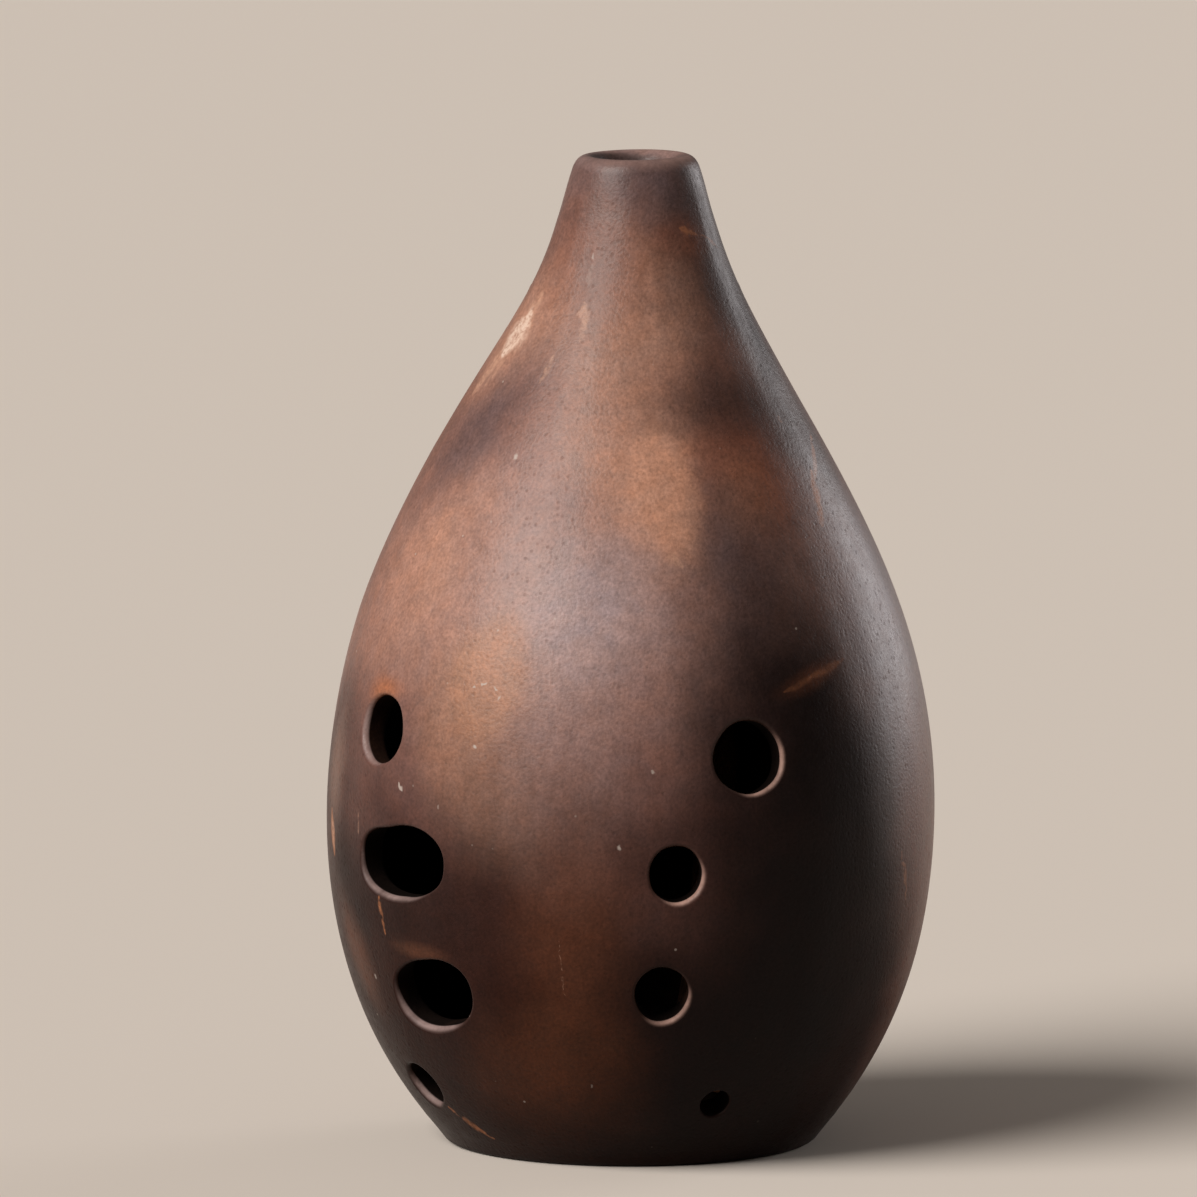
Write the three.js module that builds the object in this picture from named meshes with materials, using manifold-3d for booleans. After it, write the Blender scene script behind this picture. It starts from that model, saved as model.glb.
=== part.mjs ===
// A pear-shaped clay vessel flute: two pressed wall halves, a tapering mouthpiece and a flat base disc,
// luted together and backed by soft clay coils on the inside, with ten plain holes for the fingers.
// Millimetres, +Z up, the front faces -Y, and the origin is the middle of the flat foot.
import * as THREE from 'three';
import { mergeVertices } from 'three/addons/utils/BufferGeometryUtils.js';
import Module from 'manifold-3d';

const wasm = await Module();
wasm.setup();

// Outside of the vessel
const height = 143;
const footRadius = 26.5;
const footLeanDegrees = 41.5;
const footRound = 0.8;
const bellyRadius = 44;
const bellyHeight = 48;
const shoulderRadius = 20.3;
const shoulderDrop = 28.2; // below the crest of the lip
const shoulderLeanDegrees = -30;
const neckRadius = 12.1;
const neckDrop = 11; // the neck is straight from here up to the lip
const handleShare = 0.37; // length of a curve's handles over its chord

// Walls and joints
const wall = 4;
const baseThickness = 4;
const mouthpieceHeight = 19;
const neckOffset = 0.8; // the mouthpiece was set a little off the vessel's axis
const neckOffsetTurnDegrees = 19;
const neckOffsetRun = 26; // height over which the wall is drawn across to it

// Lip and blowing hole
const throatRadius = 4.5;
const throatDepth = 3.8;
const throatLength = 1.4;
const funnelWidth = 2.5;
const lipWidth = 2.2;
const lipDrop = 2;
const ceilingDrop = 1.2;

// Coils of soft clay inside the joints
const coilGap = 0.3;
const seamCoilWidth = 7;
const seamCoilThickness = 2.6;
const seamCoilBackRadius = 11;
const ringCoilHeight = 7;
const ringCoilThickness = 2.4;
const cornerCoilHeight = 4.4;
const cornerCoilWidth = 4.8;

// Finger and thumb holes. The turn is counted from the front, towards +X.
const rimRound = 0.7;
const leftHoles = [
  { height: 62.9, turnDegrees: -37.8, width: 10, rise: 9.8, tiltDegrees: 0, fullnessShare: 0.5 },
  { height: 44.4, turnDegrees: -30.5, width: 18.2, rise: 10.2, tiltDegrees: 0, fullnessShare: 0.4 },
  { height: 25.2, turnDegrees: -25.5, width: 15.2, rise: 10.6, tiltDegrees: 9, fullnessShare: 0.44 },
  { height: 10.3, turnDegrees: -41.1, width: 7, rise: 7.2, tiltDegrees: 0, fullnessShare: 0.5 },
  { height: 66, turnDegrees: -153, width: 9, rise: 9, tiltDegrees: 0, fullnessShare: 0.5 },
];
const rightHoles = [
  { height: 61, turnDegrees: 41.9, width: 10.4, rise: 10.4, tiltDegrees: 0, fullnessShare: 0.5 },
  { height: 44.7, turnDegrees: 27.4, width: 7.6, rise: 8.2, tiltDegrees: 0, fullnessShare: 0.5 },
  { height: 27, turnDegrees: 25.1, width: 7.7, rise: 8.5, tiltDegrees: 0, fullnessShare: 0.5 },
  { height: 9.8, turnDegrees: 39.9, width: 4.4, rise: 4.8, tiltDegrees: 0, fullnessShare: 0.5 },
  { height: 66, turnDegrees: 153, width: 9, rise: 9, tiltDegrees: 0, fullnessShare: 0.5 },
];

// Fineness
const overrun = 3;
const turnSteps = 44;
const wallSteps = 20;
const neckSteps = 5;
const lipSteps = 4;
const footSteps = 2;
const holeSteps = 20;
const rimSteps = 2;
const coilSteps = 4;
const seamSteps = 22;
const halvings = 50;

// Worked out from the sizes above
const shoulderHeight = height - shoulderDrop;
const neckHeight = height - neckDrop;
const jointHeight = height - mouthpieceHeight;
const crestRadius = throatRadius + funnelWidth;
const lipRadius = crestRadius + lipWidth;
const lipHeight = height - lipDrop;
const ceilingHeight = height - throatDepth - throatLength - ceilingDrop;
const degree = Math.PI / 180;

// Unit direction in the outline's plane that leans outward from upright
function leaning(angle) {
  return new THREE.Vector2(Math.sin(angle), Math.cos(angle));
}

// Smooth curve between two points of the outline, with the lean that it has at each
function bend(from, fromLean, to, toLean) {
  const reach = from.distanceTo(to) * handleShare;
  const leaving = from.clone().addScaledVector(leaning(fromLean), reach);
  const arriving = to.clone().addScaledVector(leaning(toLean), -reach);
  return new THREE.CubicBezierCurve(from, leaving, arriving, to);
}

// Half section of the outside, from under the foot to the lip, as radius and height
function makeOutline() {
  const foot = new THREE.Vector2(footRadius, 0);
  const belly = new THREE.Vector2(bellyRadius, bellyHeight);
  const shoulder = new THREE.Vector2(shoulderRadius, shoulderHeight);
  const neck = new THREE.Vector2(neckRadius, neckHeight);
  const lip = new THREE.Vector2(lipRadius, lipHeight);
  const footLean = footLeanDegrees * degree;
  const shoulderLean = shoulderLeanDegrees * degree;
  const neckLean = Math.atan2(lip.x - neck.x, lip.y - neck.y);
  const underFoot = foot.clone().addScaledVector(leaning(footLean), -wall);
  const path = new THREE.CurvePath();
  path.add(new THREE.LineCurve(underFoot, foot));
  path.add(bend(foot, footLean, belly, 0));
  path.add(bend(belly, 0, shoulder, shoulderLean));
  path.add(bend(shoulder, shoulderLean, neck, neckLean));
  path.add(new THREE.LineCurve(neck, lip));
  return path;
}

const outline = makeOutline();

// Outward normal of the outline
function outward(place) {
  const tangent = outline.getTangent(place);
  return new THREE.Vector2(tangent.y, -tangent.x);
}

// Point of the wall at a depth under the outside
function wallPoint(place, depth) {
  return outline.getPoint(place).addScaledVector(outward(place), -depth);
}

// Place along the outline, from 0 to 1, where the wall at a depth reaches a height
function placeAt(level, depth) {
  let low = 0;
  let high = 1;
  for (let i = 0; i < halvings; i++) {
    const middle = (low + high) / 2;
    if (wallPoint(middle, depth).y < level) low = middle;
    else high = middle;
  }
  return low;
}

// Points along the wall at a depth, from one height to another
function wallLine(depth, fromHeight, toHeight, steps) {
  const first = placeAt(fromHeight, depth);
  const last = placeAt(toHeight, depth);
  const points = [];
  for (let i = 0; i <= steps; i++) {
    points.push(wallPoint(THREE.MathUtils.lerp(first, last, i / steps), depth));
  }
  points[0].y = fromHeight;
  points[steps].y = toHeight;
  return points;
}

// The same, in a section that closes on itself: the last point is the first
function ring(points) {
  return [...points, points[0].clone()];
}

// Geometry of positions alone, with shared corners and no collapsed triangles
function weld(geometry) {
  geometry.deleteAttribute('normal');
  geometry.deleteAttribute('uv');
  const merged = mergeVertices(geometry);
  const index = merged.index.array;
  const kept = [];
  for (let i = 0; i < index.length; i += 3) {
    const [a, b, c] = [index[i], index[i + 1], index[i + 2]];
    if (a !== b && b !== c && c !== a) kept.push(a, b, c);
  }
  merged.setIndex(kept);
  return merged;
}

// Solid of revolution about Z from a section of radius and height
function turned(section) {
  const geometry = new THREE.LatheGeometry(section, turnSteps);
  geometry.rotateX(Math.PI / 2);
  return weld(geometry);
}

// Draws the upper part of a shape across to the mouthpiece's own axis
function setAcross(geometry) {
  const position = geometry.attributes.position;
  const turn = neckOffsetTurnDegrees * degree;
  for (let i = 0; i < position.count; i++) {
    const z = position.getZ(i);
    const shift = neckOffset * THREE.MathUtils.smoothstep(z, neckHeight - neckOffsetRun, neckHeight);
    position.setX(i, position.getX(i) + shift * Math.cos(turn));
    position.setY(i, position.getY(i) + shift * Math.sin(turn));
  }
  return geometry;
}

function toManifold(geometry) {
  const vertProperties = new Float32Array(geometry.attributes.position.array);
  const triVerts = new Uint32Array(geometry.index.array);
  return new wasm.Manifold(new wasm.Mesh({ numProp: 3, vertProperties, triVerts }));
}

function toGeometry(manifold) {
  const mesh = manifold.getMesh();
  const geometry = new THREE.BufferGeometry();
  geometry.setAttribute('position', new THREE.BufferAttribute(new Float32Array(mesh.vertProperties), 3));
  geometry.setIndex(new THREE.BufferAttribute(new Uint32Array(mesh.triVerts), 1));
  return geometry;
}

// Point of a rounded outline: an ellipse at fullness 0.5, squarer as the share gets smaller
function ovalPoint(hole, extra, angle) {
  const power = 2 * hole.fullnessShare;
  const across = Math.cos(angle);
  const up = Math.sin(angle);
  const x = (hole.width / 2 + extra) * Math.sign(across) * Math.abs(across) ** power;
  const y = (hole.rise / 2 + extra) * Math.sign(up) * Math.abs(up) ** power;
  return new THREE.Vector2(x, y).rotateAround(new THREE.Vector2(), hole.tiltDegrees * degree);
}

// Point on the outside at a distance across and up the surface from a hole's middle
function surfacePoint(hole, offset) {
  const centre = placeAt(hole.height, 0);
  const around = hole.turnDegrees * degree + offset.x / outline.getPoint(centre).x;
  const point = outline.getPoint(centre + offset.y / outline.getLength());
  return new THREE.Vector3(point.x * Math.sin(around), -point.x * Math.cos(around), point.y);
}

// Direction from outside to inside along a hole's axis
function holeAxis(hole) {
  const normal = outward(placeAt(hole.height, 0));
  const around = hole.turnDegrees * degree;
  return new THREE.Vector3(-normal.x * Math.sin(around), normal.x * Math.cos(around), -normal.y);
}

// Rows of a plug: how far each lies outside the opening's edge, and how deep under the surface
function plugRows() {
  const rows = [{ extra: rimRound, depth: -overrun }];
  for (let i = 0; i <= rimSteps; i++) {
    const angle = (i / rimSteps) * Math.PI / 2;
    rows.push({ extra: rimRound * (1 - Math.sin(angle)), depth: rimRound * (1 - Math.cos(angle)) });
  }
  rows.push({ extra: 0, depth: wall + overrun });
  return rows;
}

// Plug that cuts one hole: a unit drum whose rows follow the surface, round the rim and pass the wall
function holePlug(hole) {
  const rows = plugRows();
  const drum = rows.map((row, i) => new THREE.Vector2(1, i));
  const section = [new THREE.Vector2(0, 0), ...drum, new THREE.Vector2(0, rows.length - 1)];
  const geometry = new THREE.LatheGeometry(section, holeSteps);
  const position = geometry.attributes.position;
  const axis = holeAxis(hole);
  for (let i = 0; i < position.count; i++) {
    const [x, y, z] = [position.getX(i), position.getY(i), position.getZ(i)];
    const row = rows[Math.round(y)];
    const offset = ovalPoint(hole, row.extra, Math.atan2(z, x)).multiplyScalar(Math.hypot(x, z));
    const point = surfacePoint(hole, offset).addScaledVector(axis, row.depth);
    position.setXYZ(i, point.x, point.y, point.z);
  }
  return weld(geometry);
}

// The whole wall between the base disc and the mouthpiece
function wholeWall() {
  const outside = wallLine(0, baseThickness, jointHeight, wallSteps);
  const inside = wallLine(wall, baseThickness, jointHeight, wallSteps);
  return toManifold(setAcross(turned(ring([...outside, ...inside.reverse()]))));
}

// Box that holds everything on one side of the seam plane, -1 for -X and 1 for +X
function sideBox(side) {
  const reach = bellyRadius + overrun;
  const box = new THREE.BoxGeometry(reach, 2 * reach, height + 2 * overrun);
  box.translate(side * reach / 2, 0, height / 2);
  return toManifold(weld(box));
}

// One pressed half of the wall with its holes cut
function halfShell(side, holes) {
  let shell = wholeWall().intersect(sideBox(side));
  for (const hole of holes) {
    shell = shell.subtract(toManifold(holePlug(hole)));
  }
  return toGeometry(shell);
}

// Neck, rounded lip, funnel and blowing hole in one turned piece
function mouthpiece() {
  const outside = wallLine(0, jointHeight, lipHeight, neckSteps);
  const lip = new THREE.Vector2(lipRadius, lipHeight);
  const slope = (neckRadius - lipRadius) / (lipHeight - neckHeight);
  const corner = new THREE.Vector2(lipRadius - slope * lipDrop, height);
  const crest = new THREE.Vector2(crestRadius, height);
  const over = new THREE.QuadraticBezierCurve(lip, corner, crest).getPoints(lipSteps);
  const throat = new THREE.Vector2(throatRadius, height - throatDepth);
  const shelf = new THREE.Vector2(crestRadius - funnelWidth / 2, height);
  const slip = new THREE.Vector2(throatRadius, height - throatDepth / 2);
  const funnel = new THREE.CubicBezierCurve(crest, shelf, slip, throat).getPoints(lipSteps);
  const throatEnd = new THREE.Vector2(throatRadius, height - throatDepth - throatLength);
  const inside = wallLine(wall, jointHeight, ceilingHeight, neckSteps).reverse();
  const section = [...outside, ...over.slice(1), ...funnel.slice(1), throatEnd, ...inside];
  return setAcross(turned(ring(section)));
}

// Flat disc that closes the foot, with its lower edge softened
function baseDisc() {
  const corner = new THREE.Vector2(footRadius, 0);
  const start = new THREE.Vector2(footRadius - footRound, 0);
  const outside = wallLine(0, footRound, baseThickness, footSteps);
  const edge = new THREE.QuadraticBezierCurve(start, corner, outside[0]).getPoints(footSteps);
  const middle = new THREE.Vector2(0, 0);
  const top = new THREE.Vector2(0, baseThickness);
  return turned([middle, ...edge, ...outside.slice(1), top]);
}

// Ring of clay over the neck joint, lens-shaped in section and flat against the wall
function neckCoil() {
  const depth = wall + coilGap;
  const low = jointHeight - ringCoilHeight / 2;
  const high = jointHeight + ringCoilHeight / 2;
  const back = wallLine(depth, low, high, coilSteps);
  const first = placeAt(low, depth);
  const last = placeAt(high, depth);
  const face = [];
  for (let i = 1; i < coilSteps; i++) {
    const along = i / coilSteps;
    const bulge = ringCoilThickness * Math.sin(along * Math.PI);
    face.push(wallPoint(THREE.MathUtils.lerp(last, first, along), depth + bulge));
  }
  return setAcross(turned(ring([...back, ...face])));
}

// Ring of clay in the corner between the base disc and the wall
function cornerCoil() {
  const back = wallLine(wall + coilGap, baseThickness, baseThickness + cornerCoilHeight, coilSteps);
  const top = back[coilSteps];
  const toe = new THREE.Vector2(back[0].x - cornerCoilWidth, baseThickness);
  const corner = new THREE.Vector2(toe.x + cornerCoilWidth / 2, baseThickness + cornerCoilHeight / 2);
  const face = new THREE.QuadraticBezierCurve(top, corner, toe).getPoints(coilSteps);
  return turned(ring([...back, ...face.slice(1)]));
}

// Half-round section of a seam coil: its curved back faces +Y, towards the wall
function seamSection() {
  const half = seamCoilWidth / 2;
  const sag = seamCoilBackRadius - Math.sqrt(seamCoilBackRadius ** 2 - half ** 2);
  const shape = new THREE.Shape();
  shape.moveTo(half, -sag);
  shape.quadraticCurveTo(0, sag, -half, -sag);
  shape.quadraticCurveTo(-half / 2, -seamCoilThickness, 0, -seamCoilThickness);
  shape.quadraticCurveTo(half / 2, -seamCoilThickness, half, -sag);
  return shape;
}

// Coil pressed over a seam from inside, -1 for the front and 1 for the rear
function seamCoil(side) {
  const low = baseThickness + cornerCoilHeight + coilGap;
  const high = jointHeight - ringCoilHeight / 2 - coilGap;
  const line = wallLine(wall + coilGap, low, high, seamSteps / 2);
  const path = line.map((point) => new THREE.Vector3(0, side * point.x, point.y));
  if (side > 0) path.reverse();
  const extrudePath = new THREE.CatmullRomCurve3(path);
  const options = { steps: seamSteps, curveSegments: coilSteps - 1, bevelEnabled: false, extrudePath };
  return setAcross(weld(new THREE.ExtrudeGeometry(seamSection(), options)));
}

// Smoke-fired clay: darker on the body, warmer on the neck, raw inside
function smokedClay(color) {
  return new THREE.MeshStandardMaterial({ color, roughness: 0.5, metalness: 0 });
}

function rawClay() {
  return new THREE.MeshStandardMaterial({ color: 0x7a5038, roughness: 0.85, metalness: 0 });
}

function piece(name, geometry, material) {
  geometry.computeVertexNormals();
  const mesh = new THREE.Mesh(geometry, material);
  mesh.name = name;
  return mesh;
}

const group = new THREE.Group();
group.add(piece('mouthpiece_neck', mouthpiece(), smokedClay(0x7d5f50)));
group.add(piece('left_half_shell', halfShell(-1, leftHoles), smokedClay(0x6b4d40)));
group.add(piece('right_half_shell', halfShell(1, rightHoles), smokedClay(0x5e4338)));
group.add(piece('base_disc', baseDisc(), smokedClay(0x3f2d26)));
group.add(piece('neck_joint_coil', neckCoil(), rawClay()));
group.add(piece('base_joint_coil', cornerCoil(), rawClay()));
group.add(piece('front_seam_coil', seamCoil(-1), rawClay()));
group.add(piece('rear_seam_coil', seamCoil(1), rawClay()));

export default group;
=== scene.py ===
# A pear-shaped smoke-fired clay vessel flute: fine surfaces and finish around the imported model.
# Shapes are worked out in millimetres and put into the meshes in metres.
# +Z is up, the front faces -Y, and a turn is counted from the front towards +X.
import math

import bpy
import numpy as np
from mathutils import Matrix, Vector


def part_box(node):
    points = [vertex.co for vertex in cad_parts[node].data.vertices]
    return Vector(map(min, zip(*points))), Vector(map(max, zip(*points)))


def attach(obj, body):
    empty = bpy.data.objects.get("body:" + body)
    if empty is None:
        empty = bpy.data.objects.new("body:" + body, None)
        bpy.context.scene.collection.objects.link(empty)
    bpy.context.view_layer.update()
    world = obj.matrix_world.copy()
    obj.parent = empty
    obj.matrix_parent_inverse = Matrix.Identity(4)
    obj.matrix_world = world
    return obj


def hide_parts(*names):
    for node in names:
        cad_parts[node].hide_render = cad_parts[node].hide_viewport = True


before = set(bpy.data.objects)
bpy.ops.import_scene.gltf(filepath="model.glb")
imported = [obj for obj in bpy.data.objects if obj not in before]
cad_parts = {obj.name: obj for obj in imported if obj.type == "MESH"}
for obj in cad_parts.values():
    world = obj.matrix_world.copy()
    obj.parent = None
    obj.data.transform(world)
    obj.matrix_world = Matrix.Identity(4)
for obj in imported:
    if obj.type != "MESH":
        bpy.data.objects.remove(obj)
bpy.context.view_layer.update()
mm = 0.001
degree = math.pi / 180
print("frame loaded")

vessel = {
    "height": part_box("mouthpiece_neck")[1].z / mm,
    "jointHeight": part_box("mouthpiece_neck")[0].z / mm,
    "baseThickness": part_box("base_disc")[1].z / mm,
    "footRadius": 26.5,
    "footLeanDegrees": 41.5,
    "footRound": 0.8,
    "bellyRadius": 44,
    "bellyHeight": 48,
    "shoulderRadius": 20.3,
    "shoulderDrop": 28.2,
    "shoulderLeanDegrees": -30,
    "neckRadius": 12.1,
    "neckDrop": 11,
    "handleShare": 0.37,  # length of a curve's handles against the distance between its ends
    "wall": 4,
    "neckOffset": 0.8,
    "neckOffsetTurnDegrees": 19,
    "neckOffsetRun": 26,
    "curveSteps": 900,
    "normalStep": 0.15,
}

lip = {
    "throatRadius": 4.5,
    "throatDepth": 3.8,
    "throatLength": 1.4,
    "funnelWidth": 2.5,
    "lipWidth": 2.2,
    "lipDrop": 2,
    "ceilingDrop": 1.2,
    "ceilingBend": 0.5,
    "sag": 0.22,  # how far the lip dips below its highest place
    "sagSwing": 0.42,
    "sagRipple": 0.08,
    "ripplePhase": 2.1,
    "highTurn": 165,
    "sagRun": 10,
    "wear": 0.3,
    "wornRows": 4,  # rows past the top of the lip that are still a little worn
    "blendedRows": 4,  # rows below the lip whose normals run on round it
    "lipSteps": 14,
    "throatSteps": 5,
    "ceilingSteps": 4,
    "insideSteps": 22,
    "outsideSteps": 30,
    "turnSteps": 168,
}

crestRadius = lip["throatRadius"] + lip["funnelWidth"]
lipRadius = crestRadius + lip["lipWidth"]
lipHeight = vessel["height"] - lip["lipDrop"]


def smoothStep(value, low, high):
    # 0 below low, 1 above high, and 3t^2 - 2t^3 between them
    share = np.clip((value - low) / (high - low), 0, 1)
    return share * share * (3 - 2 * share)


def leaning(degreesOut):
    # unit direction in the outline's plane that leans outward from upright
    return np.array([math.sin(degreesOut * degree), math.cos(degreesOut * degree)])


def bezierLine(corners, steps):
    # a Bezier curve of any order: each point is the corners' sum weighted by the binomial terms
    share = np.linspace(0, 1, steps + 1)[:, None]
    order = len(corners) - 1
    line = np.zeros((steps + 1, 2))
    for i, corner in enumerate(corners):
        line += math.comb(order, i) * share**i * (1 - share) ** (order - i) * np.asarray(corner, float)
    return line


def traceOutline():
    # half section of the outside: a straight run under the foot, then cubic curves from foot to belly,
    # shoulder and neck with the lean that each point has, and a straight run up to the lip
    lipPoint = np.array([lipRadius, lipHeight])
    foot = np.array([vessel["footRadius"], 0.0])
    belly = np.array([vessel["bellyRadius"], vessel["bellyHeight"]])
    shoulder = np.array([vessel["shoulderRadius"], vessel["height"] - vessel["shoulderDrop"]])
    neck = np.array([vessel["neckRadius"], vessel["height"] - vessel["neckDrop"]])
    neckLean = math.degrees(math.atan2(*(lipPoint - neck)))
    stops = [
        (foot, vessel["footLeanDegrees"]),
        (belly, 0),
        (shoulder, vessel["shoulderLeanDegrees"]),
        (neck, neckLean),
    ]
    steps = vessel["curveSteps"]
    lines = [bezierLine([foot - vessel["wall"] * leaning(vessel["footLeanDegrees"]), foot], steps)]
    for (start, startLean), (end, endLean) in zip(stops, stops[1:]):
        reach = np.linalg.norm(end - start) * vessel["handleShare"]
        handles = [start + reach * leaning(startLean), end - reach * leaning(endLean)]
        lines.append(bezierLine([start, *handles, end], steps))
    lines.append(bezierLine([neck, lipPoint], steps))
    points = np.concatenate([lines[0]] + [line[1:] for line in lines[1:]])
    arc = np.concatenate([[0], np.cumsum(np.linalg.norm(np.diff(points, axis=0), axis=1))])
    along = np.gradient(points, arc, axis=0)
    out, down = (along / np.linalg.norm(along, axis=1)[:, None]).T[::-1]
    return {"arc": arc, "radius": points[:, 0], "height": points[:, 1], "out": out, "up": -down}


outline = traceOutline()


def alongOutline(arc):
    # radius, height and outward normal of the outline at an arc length
    return [np.interp(arc, outline["arc"], outline[part]) for part in ("radius", "height", "out", "up")]


def arcAt(level, depth):
    # arc length where the wall, at a depth under the outside, reaches a height
    return float(np.interp(level, outline["height"] - depth * outline["up"], outline["arc"]))


handWork = {
    "seed": 41,
    "allowance": 0.13,  # how far the fine outside lies under the driving outline, on average
    "leastDepth": 0.02,
    # each kind of wave: how many, fewest and most turns round, shortest and longest along the wall, size
    "swells": (15, (1, 6), (34, 120), 0.085),
    "facets": (12, (16, 38), (50, 160), 0.011),
    "fingers": (14, (2, 14), (9, 30), 0.045),
    "fingerDepth": 0.09,
    "footRun": 3,
    "lipRun": 7,
}


def makeWaves(seed, count, turns, lengths, size):
    # waves that close round the vessel: a whole number of turns, a length along the wall and a phase, and a
    # height that makes their sum swing by about the size
    rng = np.random.default_rng(seed)
    whole = rng.integers(turns[0], turns[1] + 1, count)
    climb = 2 * math.pi / rng.uniform(*lengths, count) * rng.choice([-1, 1], count)
    return whole, climb, rng.uniform(0, 2 * math.pi, count), size / math.sqrt(count / 2)


def addWaves(turn, arc, waves):
    # sum of sines of (turns x turn + climb x arc + phase)
    whole, climb, phase, size = waves
    total = np.zeros(np.broadcast(turn, arc).shape)
    for turns, slope, start in zip(whole, climb, phase):
        total += np.sin(turns * turn + slope * arc + start)
    return total * size


swells = makeWaves(handWork["seed"], *handWork["swells"])
facets = makeWaves(handWork["seed"] + 1, *handWork["facets"])
fingers = makeWaves(handWork["seed"] + 2, *handWork["fingers"])
arcFoot = arcAt(0, 0)
arcLip = arcAt(lipHeight, 0)


def handDepth(turn, arc):
    # how far the hand-worked outside lies under the outline: slow swells and faint burnished facets
    # that fade out at the foot's edge and at the lip
    fade = smoothStep(arc, arcFoot, arcFoot + handWork["footRun"])
    fade = fade * (1 - smoothStep(arc, arcLip - handWork["lipRun"], arcLip))
    waves = addWaves(turn, arc, swells) + addWaves(turn, arc, facets)
    return fade * np.maximum(handWork["allowance"] + waves, handWork["leastDepth"])


def setAcross(points):
    # draws the upper part of a shape across to the mouthpiece's own axis
    turn = vessel["neckOffsetTurnDegrees"] * degree
    neckHeight = vessel["height"] - vessel["neckDrop"]
    share = smoothStep(points[..., 2], neckHeight - vessel["neckOffsetRun"], neckHeight)
    shift = vessel["neckOffset"] * share
    points[..., 0] += shift * math.cos(turn)
    points[..., 1] += shift * math.sin(turn)
    return points


def turnedPoint(radius, height, turn):
    # a radius and height turned about the upright axis, starting from the front:
    # x = radius x sin(turn) and y = -radius x cos(turn)
    return np.stack(np.broadcast_arrays(radius * np.sin(turn), -radius * np.cos(turn), height), axis=-1)


def wallPoint(turn, arc, depth):
    # the outline's point at an arc length, moved in along its normal by a depth and turned
    radius, height, out, up = alongOutline(arc)
    return turnedPoint(radius - depth * out, height - depth * up, turn)


def outsidePoint(turn, arc):
    # the hand-worked outside: the outline moved in by the depth of the hand work
    return setAcross(wallPoint(turn, arc, handDepth(turn, arc)))


def insidePoint(turn, arc):
    # the wall's inner side, a little uneven where fingers smoothed it
    depth = vessel["wall"] + handWork["fingerDepth"] + addWaves(turn, arc, fingers)
    return setAcross(wallPoint(turn, arc, depth))


def outsideNormal(turn, arc):
    # cross product of the steps across and up the outside, taken as central differences
    step = vessel["normalStep"]
    turnStep = step / alongOutline(arc)[0]
    across = outsidePoint(turn + turnStep, arc) - outsidePoint(turn - turnStep, arc)
    along = outsidePoint(turn, arc + step) - outsidePoint(turn, arc - step)
    normal = np.cross(across, along)
    return normal / np.linalg.norm(normal, axis=-1)[..., None]


class ClayShape:
    # collects grids of points and the faces between them, then makes one mesh of them
    def __init__(self):
        self.points, self.normals, self.skins, self.edges = [], [], [], []
        self.smooth, self.flat = [], []
        self.count = 0

    def add(self, points, normals=None, skin=0.0, edge=0.0):
        # returns the points' numbers; skin is 1 on the smoked outside and 0 on raw clay, painted near-black
        # partly as shade, edge is 1 where a rim is worn and partly given a painted highlight, and normals are
        # given where the surface's own are known
        shape = points.shape[:-1]
        total = int(np.prod(shape))
        self.points.append(points.reshape(-1, 3))
        self.normals.append(np.full((total, 3), np.nan) if normals is None else normals.reshape(-1, 3))
        self.skins.append(np.broadcast_to(skin, shape).reshape(-1))
        self.edges.append(np.broadcast_to(edge, shape).reshape(-1))
        ids = np.arange(self.count, self.count + total).reshape(shape)
        self.count += total
        return ids

    def sheet(self, ids, keep=None, back=False, flat=False):
        # one quad for each cell of a grid of points, rows upward and columns towards a larger turn
        quads = np.stack([ids[:-1, :-1], ids[:-1, 1:], ids[1:, 1:], ids[1:, :-1]], axis=-1)
        quads = quads[keep] if keep is not None else quads.reshape(-1, 4)
        self.faces(quads[:, ::-1] if back else quads, flat)

    def band(self, inner, outer, back=False, flat=False):
        # quads between two loops of as many points, the outer one further from the middle
        quads = np.stack([inner, outer, np.roll(outer, -1), np.roll(inner, -1)], axis=-1)
        self.faces(quads[:, ::-1] if back else quads, flat)

    def fan(self, centre, loop, back=False):
        # triangles from a middle point to a loop; the fourth corner is left out as a negative number
        nexts = np.roll(loop, -1)
        triangles = np.stack([np.full_like(loop, centre), loop, nexts], axis=-1)
        triangles = triangles[:, ::-1] if back else triangles
        self.faces(np.concatenate([triangles, np.full((len(loop), 1), -1)], axis=1), True)

    def faces(self, quads, flat):
        # keeps faces with the smooth or the flat ones
        (self.flat if flat else self.smooth).append(quads.reshape(-1, 4))

    def finish(self, name, paint, material):
        # drops the points inside the windows, which no face uses, and numbers the others anew
        points = np.concatenate(self.points)
        quads = np.concatenate(self.smooth + self.flat)
        isFlat = np.arange(len(quads)) >= sum(len(part) for part in self.smooth)
        used, packed = np.unique(quads[quads >= 0], return_inverse=True)
        renumbered = np.full(quads.shape, -1)
        renumbered[quads >= 0] = packed
        return putMesh(
            name,
            points[used],
            renumbered,
            isFlat,
            np.concatenate(self.normals)[used],
            np.concatenate(self.skins)[used],
            np.concatenate(self.edges)[used],
            paint,
            material,
        )


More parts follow.
